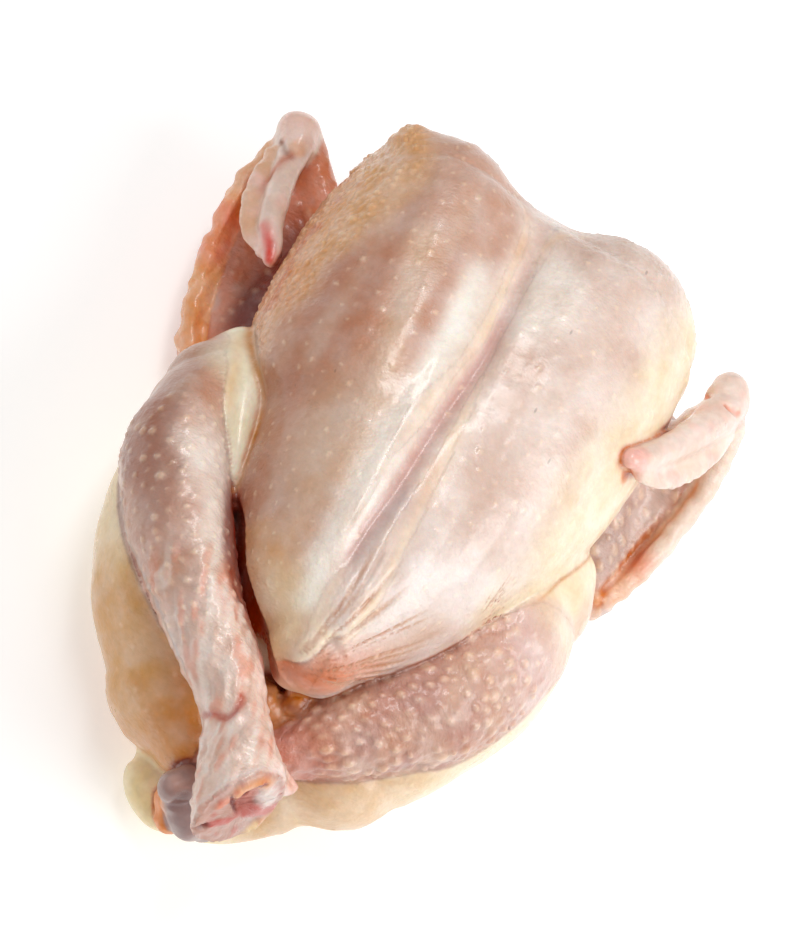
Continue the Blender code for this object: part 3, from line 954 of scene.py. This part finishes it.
def shape_skin(skin):
    """Soft hollows, wrinkles and follicles."""
    zones = skin.zones
    whole = 1 - zones["cut"]
    calm = 1 - 0.8 * skin.line(RIDGE, 10)
    skin.lift += whole * calm * (0.5 * noise(skin.p, 17, 1) + 0.22 * noise(skin.p, 7, 2))
    shape_breast(skin)
    shape_legs(skin, whole)
    shape_thighs(skin)
    shape_wings(skin)
    fat = np.maximum(zones["fat"], zones["flesh"])
    skin.lift += fat * (0.7 * noise(skin.p, 3.2, 51) + 0.3 * noise(skin.p, 1.9, 52))
    shape_cut(skin)
    skin.lift *= 1 - 0.8 * skin.nook * (1 - fat) * whole
    skin.lift *= ramp(skin.p[:, 2], 0.5, 4)


def shape_breast(skin):
    """Long soft folds beside the keel, and follicles that crowd together over the right shoulder."""
    p, zones = skin.p, skin.zones
    x, y, _ = p.T
    breast, shoulder = zones["breast"], zones["shoulder"]
    skin.lift += breast * 0.4 * noise(p * (1, 0.12, 0.5), 5.5, 3)
    skin.lift += breast * 0.16 * noise(p * (1, 0.3, 0.5), 2.6, 4) * skin.line(RIDGE, 9)
    crowded = {"r": shoulder, "l": 0.5 * breast * ramp(y, 96, 108)}
    for side in ("r", "l"):
        mask = zones["lobe_" + side]
        t, round_, _ = round_limb("breast_" + side, p, 37)
        dense = crowded[side]
        sway = 1.6 * noise(p, 14, 8)
        skin.bumps(mask * (1 - dense), round_ + sway, t + 2 * sway, 7.6, 0.35, 0.85, 11, 0.3)
        skin.bumps(mask * dense, round_ * 0.95 + sway, t + sway, 3.6, 0.75, 1.15, 12, 0.3, 0.7)
        skin.lay[mask > 0.5] = np.stack([round_, t, 0 * t], 1)[mask > 0.5]
        skin.wrinkled += mask * (0.45 + 0.55 * dense)
    rows = flat_noise(p @ ROWS_ALONG / 9, p @ ROWS_ACROSS / 2.4, 5)
    skin.lift += zones["lobe_r"] * ramp(y, 92, 104) * ramp(-x, 16, 30) * 0.55 * rows
    skin.pebbled += shoulder * ramp(-x, 40, 52)
    skin.speckled += breast * (1 - shoulder)


def streaks(t, round_, seed):
    """Noise in long slanting streaks on a limb."""
    return flat_noise((round_ + 0.4 * t) / 2.4, t / 6, seed)


def shape_legs(skin, whole):
    """Follicles on the drumsticks, with fine slanting wrinkles."""
    p, zones = skin.p, skin.zones
    for side, height, width, step, radius in (("r", 0.7, 1.15, 5.0, 15), ("l", 1.35, 1.8, 5.6, 18)):
        mask = zones["leg_" + side]
        t, round_, angle = round_limb("drum_" + side, p, radius)
        along = ramp(t, 8, 30) * (1 - ramp(t, 92, 104) * 0.8)
        upper = ramp(np.sin(angle), -0.7, 0.1)
        strong = mask * whole * along * (0.3 + 0.7 * upper)
        sway = 0.7 * noise(p, 12, 9)
        skin.bumps(strong, round_ + sway, t + sway, step, height, width, 21, 0.28)
        slant = np.stack([round_ + 0.8 * t, t - 0.5 * round_, 0 * t], 1)
        skin.lift += mask * whole * (0.12 + 0.33 * ramp(t, 50, 80)) * noise(slant * (0.16, 0.45, 1), 1.0, 22)
        skin.lift += mask * whole * ramp(t, 60, 84) * 0.4 * streaks(t, round_, 84)
        skin.lay[mask > 0.5] = slant[mask > 0.5]
        skin.wrinkled += 0.7 * mask


def shape_thighs(skin):
    for side in ("r", "l"):
        mask = skin.zones["thigh_" + side]
        t, round_, _ = round_limb("thigh_" + side, skin.p, 24)
        skin.bumps(mask * 0.5, round_, t, 7.5, 0.3, 1.2, 31)
        skin.lift += mask * 0.3 * flat_noise(round_ / 9, t / 3.4, 32) * ramp(-skin.p[:, 1], 40, 70)
        skin.wrinkled += 0.7 * mask


def shape_wings(skin):
    """Uneven rims, follicles on the wings, and soft lumps on the hands and the loose skin beside them."""
    p, zones = skin.p, skin.zones
    x, y, _ = p.T
    rims, hands, wings = zones["rims"], zones["hands"], zones["wings"]
    rough = np.where(x < 0, 1.2, 0.7)
    skin.lift += rims * rough * (noise(p, 5.2, 41) + 0.5 * noise(p, 2.8, 42))
    skin.bumps(wings * (1 - rims), x + 0.4 * y, y, 5.0, 0.8, 1.6, 43, 0.3, np.where(x > 0, 1.0, 0.5))
    skin.lift += hands * (0.3 * noise(p, 5, 44) + 0.14 * noise(p, 2.4, 45))
    skin.lift += zones["flaps"] * 0.45 * noise(p, 2.6, 46)
    skin.wrinkled += wings * 0.8 + hands * 0.5


def shape_cut(skin):
    face = skin.face
    skin.lift += face.mask * (0.45 * noise(skin.p, 3.0, 61) + 0.3 * noise(skin.p, 1.8, 62))
    for _, place, size, turn, height in CUT_PARTS:
        skin.lift += height * face.oval(*place, *size, turn)


# Colours


def paint_skin(skin):
    """The skin's colours, from the widest patches to the smallest."""
    edge = 6 * noise(skin.p, 16, 71) + 3 * noise(skin.p, 6, 72)
    skin.blend("cream", skin.patchy(22, 70) * 0.7)
    paint_breast(skin, edge)
    paint_keel(skin)
    paint_thighs(skin, edge)
    paint_right_leg(skin)
    paint_left_leg(skin, edge)
    paint_wings(skin)
    paint_hands(skin)
    rump = skin.on("tail", soft=4) * (1 - skin.zones["leg_r"]) * (1 - skin.zones["leg_l"])
    skin.blend("rump", rump)
    skin.blend("tan", rump * ramp(skin.p[:, 0], 8, 22) * 0.6)
    paint_nooks(skin)
    paint_ends(skin)
    paint_cut(skin)
    dots = ramp(skin.dot, 0.15, 0.7) * 0.72
    pale = np.clip(skin.tint * 0.6 + linear(PAINT["follicle"]) * 0.5, 0, 1)
    skin.tint = skin.tint * (1 - dots[:, None]) + pale * dots[:, None]


def paint_breast(skin, edge):
    """The right breast is brown and the left one is pale. edge makes the borders of the patches uneven."""
    x, y, _ = skin.p.T
    breast, shoulder = skin.zones["breast"], skin.zones["shoulder"]
    right = breast * ramp(-x + 0.4 * edge, -2, 9)
    left = breast * ramp(x, 6, 18)
    long_way = noise(skin.p * (1, 0.1, 0.6), 7, 73)
    skin.blend("pale", breast)
    skin.blend("mauve", right)
    skin.blend("rose", right * ramp(y + edge, 56, 92) * 0.8)
    skin.blend("sand", right * ramp(long_way, 0.0, 0.6) * 0.3)
    skin.blend("sand", right * skin.line(STRIPE, 5.0) * 0.75)
    skin.blend("sand", right * skin.spot("breast_side") * 0.75)
    skin.blend("ochre", right * ramp(-y + edge, 18, 46) * 0.75)
    skin.blend("shoulder", shoulder)
    skin.blend("armpit", shoulder * ramp(-x + 0.5 * edge, 52, 60))
    skin.blend("rust", shoulder * skin.patchy(6, 76, 0.15, 0.7) * ramp(-x, 52, 58) * 0.7)
    skin.blend("rose", left * skin.patchy(15, 74) * 0.45)
    skin.blend("rose", left * ramp(y + edge, 60, 96) * (1 - ramp(x + edge, 34, 50)) * 0.25)
    skin.blend("white", left * ramp(-y + edge, -10, 26) * (1 - ramp(x, 44, 56)) * 0.7)
    skin.blend("cream", left * ramp(x - 0.1 * y + 0.7 * edge, 38, 54))
    # Painted highlights: a pale band along the keel's ridge, a painted sheen beside the valley, and a lighter
    # spot by the neck.
    skin.blend("ridge", breast * skin.line(RIDGE, 6.0) * (1 - 0.7 * ramp(y, 60, 90)))
    skin.blend("sheen", breast * skin.line(SHEEN, 5.5) * 0.8)
    skin.blend("sheen", breast * skin.spot("breast_neck") * 0.6)
    # Painted shade: the groove beside the keel is painted a darker pinkish brown.
    skin.blend("valley", breast * skin.line(VALLEY, 3.0) * ramp(y, -50, -34) * (0.85 - 0.5 * ramp(y, 50, 84)))
    skin.blend("lilac", breast * skin.line(STRIP, 4.6) * 0.85)
    skin.blend("lilac", breast * skin.line(STRIP_FLANK, 4.0) * 0.5)
    # Painted shade: tan along the edge of the right breast beside the slit.
    skin.blend("tan", right * skin.line(BREAST_EDGE_SHADE, 6.0) * 0.6)
    skin.blend("white", skin.line(STRIP_EDGE, 1.2) * 0.8)
    skin.blend("cream", breast * skin.spot("breast_tip") * ramp(-x, 0, 8) * 0.45)


def paint_keel(skin):
    """The salmon-coloured fold beyond the end of the keel, and the fine wrinkles that run out from it."""
    x, y, _ = skin.p.T
    salmon = skin.line(FOLD, 10.5) * ramp(-y, 34, 62) * ramp(x, -9, -5)
    skin.blend("salmon", salmon * skin.beyond(KEEL_END, KEEL_END_FACING))
    # Painted shade: a thin brown line in the crease at the end of the keel.
    skin.blend("brown", skin.line(KEEL_END, 0.8) * 0.7)
    skin.blend("tan", skin.line(FOLD[3:], 7) * 0.6)
    # Painted shade: the wrinkles' grooves are painted tan, and redder where they are deeper.
    for fan in FANS:
        wrinkles = fan.cut(skin.p)
        skin.blend("tan", ramp(wrinkles, 0.04, 0.25) * 0.8)
        skin.blend("rust", ramp(wrinkles, 0.2, 0.5) * 0.5)


def paint_thighs(skin, edge):
    x, y, _ = skin.p.T
    zones = skin.zones
    right, left = zones["thigh_r"], zones["thigh_l"]
    skin.blend("thigh", right)
    skin.blend("thigh_low", right * ramp(-y + edge, 28, 62))
    skin.blend("thigh_deep", right * ramp(-y + edge, 60, 84) * ramp(x + edge, -50, -20) * 0.9)
    flank = skin.on("flank_l", "thigh_l", soft=7) * (1 - zones["leg_l"]) * (1 - zones["breast"])
    skin.blend("flank", np.maximum(left, flank))
    skin.blend("thigh_low", left * ramp(-y + edge, 52, 72) * 0.6)


def paint_right_leg(skin):
    """Mauve at the thick end, streaks of rose and white towards the ankle, and red beside the slit, which is
    blood and painted shade.
    """
    leg = skin.zones["leg_r"]
    t, round_, angle = round_limb("drum_r", skin.p, 14)
    outer = np.cos(angle)
    ankle = leg * ramp(t, 60, 84)
    skin.blend("drum", leg)
    skin.blend("purple", leg * (1 - ramp(t, 40, 80)) * skin.patchy(9, 81, -0.6, 0.3) * ramp(outer, -0.5, 0.4))
    skin.blend("sand", leg * skin.patchy(7, 80, 0.1, 0.8) * 0.25)
    # The inner side of the right drumstick is painted pale: pale skin with a painted highlight band on it.
    inner = ramp(-outer + 0.3 * noise(skin.p, 8, 82), -0.5, 0.3)
    skin.blend("drum_pale_and_sheen", leg * ramp(t, 18, 40) * inner * 0.9)
    skin.blend("ankle", leg * ramp(t, 72, 100))
    skin.blend("rose", ankle * ramp(streaks(t, round_, 83), 0.0, 0.5) * 0.7)
    skin.blend("streak", ankle * ramp(streaks(t, round_, 84), 0.0, 0.6) * 0.6)
    skin.blend("drum_pale_and_sheen", ankle * ramp(streaks(t, round_, 88), 0.1, 0.6) * 0.6)
    skin.blend("tan", leg * (1 - ramp(t, -4, 22)) * 0.5)
    skin.blend("lens", leg * skin.spot("knee_top") * 0.8)
    skin.blend("lens", skin.zones["lens"])
    skin.blend("ochre", skin.line(LENS_MIDDLE, 2.6) * skin.zones["lens"] * 0.6)
    # Painted shade: a thin brown line in the crease at the lower end of the fat lens.
    skin.blend("brown", skin.line(LENS_END, 0.9) * 0.7)
    # Red beside the slit: blood, with painted shade where the leg's side turns into the slit.
    slit_blood_and_shade = ramp(t, 34, 56) * (1 - ramp(t, 86, 100)) * (1 - ramp(skin.breast, 4.5, 9.5))
    skin.blend("gap", leg * slit_blood_and_shade * 0.75)


def paint_left_leg(skin, edge):
    leg = skin.zones["leg_l"]
    t, _, _ = round_limb("drum_l", skin.p, 14)
    skin.blend("drum", leg)
    skin.blend("drum_dark", leg * skin.patchy(8, 85, -0.4, 0.5) * ramp(t, 36, 60) * 0.7)
    skin.blend("sand", leg * skin.patchy(8, 86, 0.0, 0.7) * 0.3)
    skin.blend("knee", leg * (1 - ramp(t + edge, 20, 48)) * 0.85)
    skin.blend("flank", leg * (1 - ramp(t + 0.7 * edge, 0, 20)) * 0.8)
    skin.blend("drum_red", leg * ramp(t, 84, 104) * 0.7)
    skin.blend("tendon", skin.line(TENDON, 1.6) * 0.6)


def paint_wings(skin):
    """The forearms, with their thick front edges. The right one is red and bloody, the left one grey."""
    x, y, _ = skin.p.T
    zones = skin.zones
    wings, rims, hands = zones["wings"], zones["rims"], zones["hands"]
    right, left = ramp(-x, 0, 20), ramp(x, 0, 20)
    bare = (1 - hands) * (1 - zones["breast"])
    skin.blend("wing", wings)
    skin.blend("wing_dark", wings * right * 0.85)
    skin.blend("wing_grey", wings * right * skin.spot("arm_grey") * skin.patchy(5, 90) * 0.6)
    # Blood and painted shade: dark red beside the breast under the right hand, darkest in the cleft between
    # wing and breast.
    skin.blend("wing_blood_and_shade", wings * skin.spot("arm_blood_and_shade") * 0.9)
    skin.blend("blood", wings * skin.line(WING_CLEFT, 6) * 0.85)
    skin.blend("wing_grey", wings * left)
    skin.blend("purple", wings * left * skin.patchy(5, 89, -0.2, 0.6) * 0.6)
    skin.blend("rim", rims * right)
    skin.blend("rim_red", rims * skin.spot("rim_middle") * (0.6 + 0.4 * skin.patchy(5, 97)))
    skin.blend("orange", rims * right * (1 - ramp(y, 48, 66)) * 0.6)
    skin.blend("rim_pale", rims * left)
    skin.blend("orange", skin.line(RIM_FOLD, 1.8) * (1 - hands) * 0.75)
    skin.blend("rim_pink", rims * skin.spot("rim_low") * 0.7)
    skin.blend("orange", rims * left * (1 - ramp(y, 42, 58)) * 0.55)
    skin.blend("front", skin.on("front_r", soft=1.5) * bare)
    skin.blend("hand", skin.on("front_l", soft=1.5) * bare)
    skin.blend("flap", skin.spot("wrist_back") * np.maximum(wings, hands) * 0.9)


def paint_hands(skin):
    x = skin.p[:, 0]
    hands, flaps = skin.zones["hands"], skin.zones["flaps"]
    skin.blend("hand", hands)
    skin.blend("flap", flaps * ramp(-x, 0, 20) * 0.75)
    skin.blend("rim_pale", flaps * ramp(x, 0, 20))
    skin.blend("hand_pink", hands * skin.patchy(6, 93, 0.0, 0.6) * 0.7)
    skin.blend("hand_pink", skin.on("knob_r", soft=1) * 0.7)
    skin.blend("ring", skin.spot("wrist_top") * hands * 0.6)
    # Painted shade: a brown line in the crease below the right knob, and shade along the cleft beside the
    # right hand.
    skin.blend("brown", skin.line(WRIST_R, 1.1) * 0.8)
    skin.blend("crevice_shade", skin.line(HAND_CLEFT, 2.0) * hands * 0.8)
    skin.blend("tip", skin.line(HAND_TIP, 2.2) * hands)
    skin.blend("tip_left", skin.spot("tip_l") * hands)
    # Painted shade: orange under the tip of the left hand.
    skin.blend("fold_line", skin.spot("tip_under_shade") * 0.8)
    skin.blend("rim_red", skin.line(WRIST_L, 1.1) * 0.7)


def paint_nooks(skin):
    """Painted shade: crevices turn red, and dark where they are deep. The places where limbs meet have thin
    lines.
    """
    zones = skin.zones
    soft = 1 - 0.8 * np.maximum(np.maximum(zones["leg_l"], skin.line(FOLD, 9)), skin.line(TENDON, 6))
    skin.blend("crevice_shade", ramp(skin.nook, 0.35, 0.85) * 0.7 * soft)
    skin.blend("deep", ramp(skin.nook, 0.75, 1.0) * 0.85 * soft)
    t, _, _ = LIMBS["drum_r"].local(skin.p)
    # Painted shade and red flesh colour inside the slit between the right drumstick and the breast.
    gap = skin.line(LEG_GAP, 7.0) * ramp(skin.nook, 0.1, 0.5) * ramp(-skin.p[:, 2], -72, -66)
    skin.blend("slit_red_and_shade", gap * ramp(t, 48, 64))
    # Painted shade: a brown line in the crease under the left drumstick.
    under = skin.seam(["drum_l"], ["breast_l", "breast_r", "keel", "fold"], 1.8)
    skin.blend("brown", under * ramp(-skin.p[:, 1], 14, 34))
    skin.blend("amber", skin.seam(["flank_l", "thigh_l"], ["breast_l", "fold"], 0.8) * 0.7)
    skin.blend("amber", skin.seam(["fat_r"], ["breast_r"], 2.2) * 0.9)
    skin.blend("fold_line", skin.seam(["hand_l", "flap_l"], ["breast_l", "trunk"], 1.0) * 0.9)
    # Painted shade in the hock's crease.
    skin.blend("crevice_shade", skin.line(HOCK, 1.9) * 0.35)
    skin.blend("cut_line", skin.line(HOCK, 0.95))
    skin.blend("fold_line", skin.line(RIM_FOLD, 3.0) * (1 - zones["hands"]) * (1 - zones["rims"]) * 0.85)
    skin.blend("fat", zones["fat"])
    skin.blend("fat_dark", zones["fat"] * skin.patchy(3.5, 94, 0, 0.6) * 0.7)


def paint_ends(skin):
    """The knuckle and cartilage at the end of the left leg."""
    other = 1 - skin.zones["leg_r"]
    joint = skin.on("joint", soft=1.5)
    skin.blend("flesh", skin.zones["flesh"] * other)
    skin.blend("cartilage", joint * other)
    skin.blend("knuckle", skin.on("knuckle", soft=1.2) * other * 0.9)
    skin.blend("grey", joint * other * skin.patchy(4, 96, 0.0, 0.6) * 0.8)
    skin.blend("hand_pink", skin.spot("knuckle_top") * other * 0.35)
    skin.blend("flesh", skin.spot("knuckle_side") * other * 0.9)
    # Painted shade: a dark spot in the gap beside the knuckle.
    skin.blend("hollow", skin.spot("knuckle_gap_shade") * other * 0.9)


def paint_cut(skin):
    """The cut ankle of the right leg."""
    face = skin.face
    lip = (skin.p - CUT_MIDDLE) @ CUT_NORMAL
    skin.blend("condyle", skin.zones["leg_r"] * np.exp(-(((lip + 1.9) / 0.7) ** 2)) * 0.7)
    skin.blend("membrane", face.mask)
    for paint, place, size, turn, _ in CUT_PARTS:
        skin.blend(paint, face.oval(*place, *size, turn) * 0.9)
    skin.blend("granular", face.mask * skin.patchy(2.2, 95, 0.2, 0.7) * 0.4)


# The material


def raw_skin():
    """Wet, half see-through skin. Its broad colours are stored in the mesh, and nodes give it its grain."""
    skin = bpy.data.materials.new("raw_skin")
    skin.use_nodes = True
    tree = skin.node_tree
    nodes, links = tree.nodes, tree.links
    shader = nodes["Principled BSDF"]

    def node(kind, **settings):
        made = nodes.new("ShaderNode" + kind)
        for key, value in settings.items():
            setattr(made, key, value)
        return made

    def stored(name):
        return node("Attribute", attribute_name=name)

    def maths(operation, a, b):
        made = node("Math", operation=operation)
        for socket, value in zip(made.inputs, (a, b)):
            if isinstance(value, (int, float)):
                socket.default_value = value
            else:
                links.new(value, socket)
        return made.outputs[0]

    def times(a, b):
        return maths("MULTIPLY", a, b)

    def added(first, *rest):
        for value in rest:
            first = maths("ADD", first, value)
        return first

    def scaled(vector, scale):
        made = node("Mapping")
        made.inputs["Scale"].default_value = scale
        links.new(vector, made.inputs["Vector"])
        return made.outputs["Vector"]

    def grain(scale, detail=2.0, vector=None):
        made = node("TexNoise")
        made.inputs["Scale"].default_value = scale
        made.inputs["Detail"].default_value = detail
        links.new(vector or place, made.inputs["Vector"])
        return made.outputs["Fac"]

    def cells(vector):
        made = node("TexVoronoi")
        made.inputs["Scale"].default_value = 1.0
        links.new(vector, made.inputs["Vector"])
        return made.outputs["Distance"]

    def spread(value, low, high, to_low, to_high):
        made = node("MapRange", clamp=True)
        links.new(value, made.inputs["Value"])
        for key, number in (("From Min", low), ("From Max", high), ("To Min", to_low), ("To Max", to_high)):
            made.inputs[key].default_value = number
        return made.outputs[0]

    place = node("TexCoord").outputs["Object"]
    lay = stored("lay").outputs["Vector"]
    pebbled = stored("pebbled").outputs["Fac"]
    pebbles = times(spread(cells(scaled(lay, (0.52, 0.52, 0.52))), 0.0, 0.75, 1.0, 0.0), pebbled)

    # colour: blotches, fine pink grain, yellow pebbles and the dark tips of pin feathers
    blotch = spread(grain(90, 4), 0.35, 0.65, -0.5, 0.5)
    fine = spread(grain(420, 3), 0.3, 0.7, -0.5, 0.5)
    mix = node("HueSaturation")
    links.new(stored("tint").outputs["Color"], mix.inputs["Color"])
    links.new(added(times(blotch, -0.30), 1.02), mix.inputs["Saturation"])
    pin = spread(cells(scaled(place, (115, 46, 115))), 0.03, 0.06, 1.0, 0.0)
    pin = times(pin, spread(grain(60, 1), 0.46, 0.5, 0.0, 1.0))
    pin = times(pin, stored("speckled").outputs["Fac"])
    shade = added(times(fine, 0.10), times(blotch, 0.10), times(pebbles, 0.24), times(pin, -0.34), 1.0)
    links.new(shade, mix.inputs["Value"])
    links.new(mix.outputs["Color"], shader.inputs["Base Color"])

    # relief: wrinkles along the skin's lay, pebbles, dimples and fine pores
    wrinkled = stored("wrinkled").outputs["Fac"]
    wrinkle = times(grain(1.0, 2, scaled(lay, (0.5, 0.9, 1.0))), times(wrinkled, 0.9))
    height = added(wrinkle, times(pebbles, 1.5), times(grain(330, 2), 0.5), times(grain(1100, 2), 0.2))
    bump = node("Bump")
    bump.inputs["Strength"].default_value = 0.6
    bump.inputs["Distance"].default_value = 0.0009
    links.new(height, bump.inputs["Height"])
    links.new(bump.outputs["Normal"], shader.inputs["Normal"])

    rough = spread(grain(70, 4), 0.3, 0.7, 0.26, 0.5)
    links.new(rough, shader.inputs["Roughness"])
    shader.inputs["Subsurface Weight"].default_value = 0.2
    shader.inputs["Subsurface Radius"].default_value = (1.0, 0.35, 0.18)
    shader.inputs["Subsurface Scale"].default_value = 0.002
    shader.inputs["Specular IOR Level"].default_value = 0.5
    shader.inputs["Coat Weight"].default_value = 0.5
    shader.inputs["Coat Roughness"].default_value = 0.16
    return skin


def put(mesh, name, kind, values):
    """Store values at the mesh's vertices for the material to read."""
    layer = mesh.attributes.new(name, kind, "POINT")
    field = {"FLOAT": "value", "FLOAT_VECTOR": "vector", "FLOAT_COLOR": "color"}[kind]
    layer.data.foreach_set(field, np.asarray(values, np.float32).ravel())


def make_bird():
    """The bird, with its relief, and with its colours stored in the mesh."""
    bird, p = grown_mesh()
    _, n = slope(p)
    n /= np.linalg.norm(n, axis=1)[:, None] + 1e-9
    skin = Skin(p, n)
    shape_skin(skin)
    paint_skin(skin)
    p = p + n * np.clip(skin.lift, -MAX_LIFT, MAX_LIFT)[:, None]
    p[:, 2] = np.maximum(p[:, 2], 0)
    mesh = bird.data
    mesh.vertices.foreach_set("co", ((p + np.array(ORIGIN)) * MM).astype(np.float32).ravel())
    mesh.update()
    mesh.shade_smooth()
    put(mesh, "tint", "FLOAT_COLOR", np.concatenate([skin.tint, np.ones((len(p), 1))], 1))
    put(mesh, "lay", "FLOAT_VECTOR", skin.lay)
    put(mesh, "wrinkled", "FLOAT", np.clip(skin.wrinkled, 0, 1))
    put(mesh, "pebbled", "FLOAT", skin.pebbled)
    put(mesh, "speckled", "FLOAT", skin.speckled)
    mesh.materials.append(raw_skin())
    return bird


# The stage, the camera and the light


def add_floor(scene):
    corners = [(x * FLOOR_HALF, y * FLOOR_HALF, 0) for x, y in ((-1, -1), (1, -1), (1, 1), (-1, 1))]
    mesh = bpy.data.meshes.new("floor")
    mesh.from_pydata(corners, [], [(0, 1, 2, 3)])
    floor = bpy.data.objects.new("floor", mesh)
    scene.collection.objects.link(floor)
    paint = bpy.data.materials.new("floor")
    paint.use_nodes = True
    shader = paint.node_tree.nodes["Principled BSDF"]
    shader.inputs["Base Color"].default_value = (0.88, 0.88, 0.88, 1)
    shader.inputs["Roughness"].default_value = 0.9
    shader.inputs["Emission Color"].default_value = (1, 1, 1, 1)
    shader.inputs["Emission Strength"].default_value = FLOOR_GLOW
    mesh.materials.append(paint)


def facing(back, up):
    """The turn of a camera or lamp that looks away from back, with up at the top of what it sees."""
    across = up.cross(back).normalized()
    return Matrix((across, back.cross(across), back)).transposed()


def add_camera(scene):
    azimuth, elevation, roll = map(math.radians, (AZIMUTH, ELEVATION, ROLL))
    level = math.cos(elevation)
    back = Vector((math.sin(azimuth) * level, -math.cos(azimuth) * level, math.sin(elevation)))
    turn = facing(back, Vector((0, 0, 1))) @ Matrix.Rotation(-roll, 3, "Z")
    camera = bpy.data.objects.new("camera", bpy.data.cameras.new("camera"))
    camera.data.sensor_width = 36
    camera.data.lens = LENS
    place = Vector(TARGET) + Vector(ORIGIN) + back * CAMERA_AWAY
    camera.matrix_world = Matrix.Translation(place * MM) @ turn.to_4x4()
    scene.collection.objects.link(camera)
    scene.camera = camera


def add_light(scene):
    world = bpy.data.worlds.new("studio")
    world.use_nodes = True
    background = world.node_tree.nodes["Background"]
    background.inputs[0].default_value = (*SKY_COLOUR, 1)
    background.inputs[1].default_value = SKY_LIGHT
    scene.world = world
    for name, place, (width, length), energy in LAMPS:
        lamp = bpy.data.lights.new(name, "AREA")
        lamp.energy = energy
        lamp.shape = "RECTANGLE"
        lamp.size = width
        lamp.size_y = length
        light = bpy.data.objects.new(name, lamp)
        turn = facing(Vector(place).normalized(), Vector((0, 1, 0)))
        light.matrix_world = Matrix.Translation(place) @ turn.to_4x4()
        scene.collection.objects.link(light)


def main():
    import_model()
    bird = make_bird()
    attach(bird, "root")
    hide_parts("chicken")
    scene = bpy.context.scene
    add_floor(scene)
    add_camera(scene)
    add_light(scene)
    scene.view_settings.view_transform = "Standard"


main()
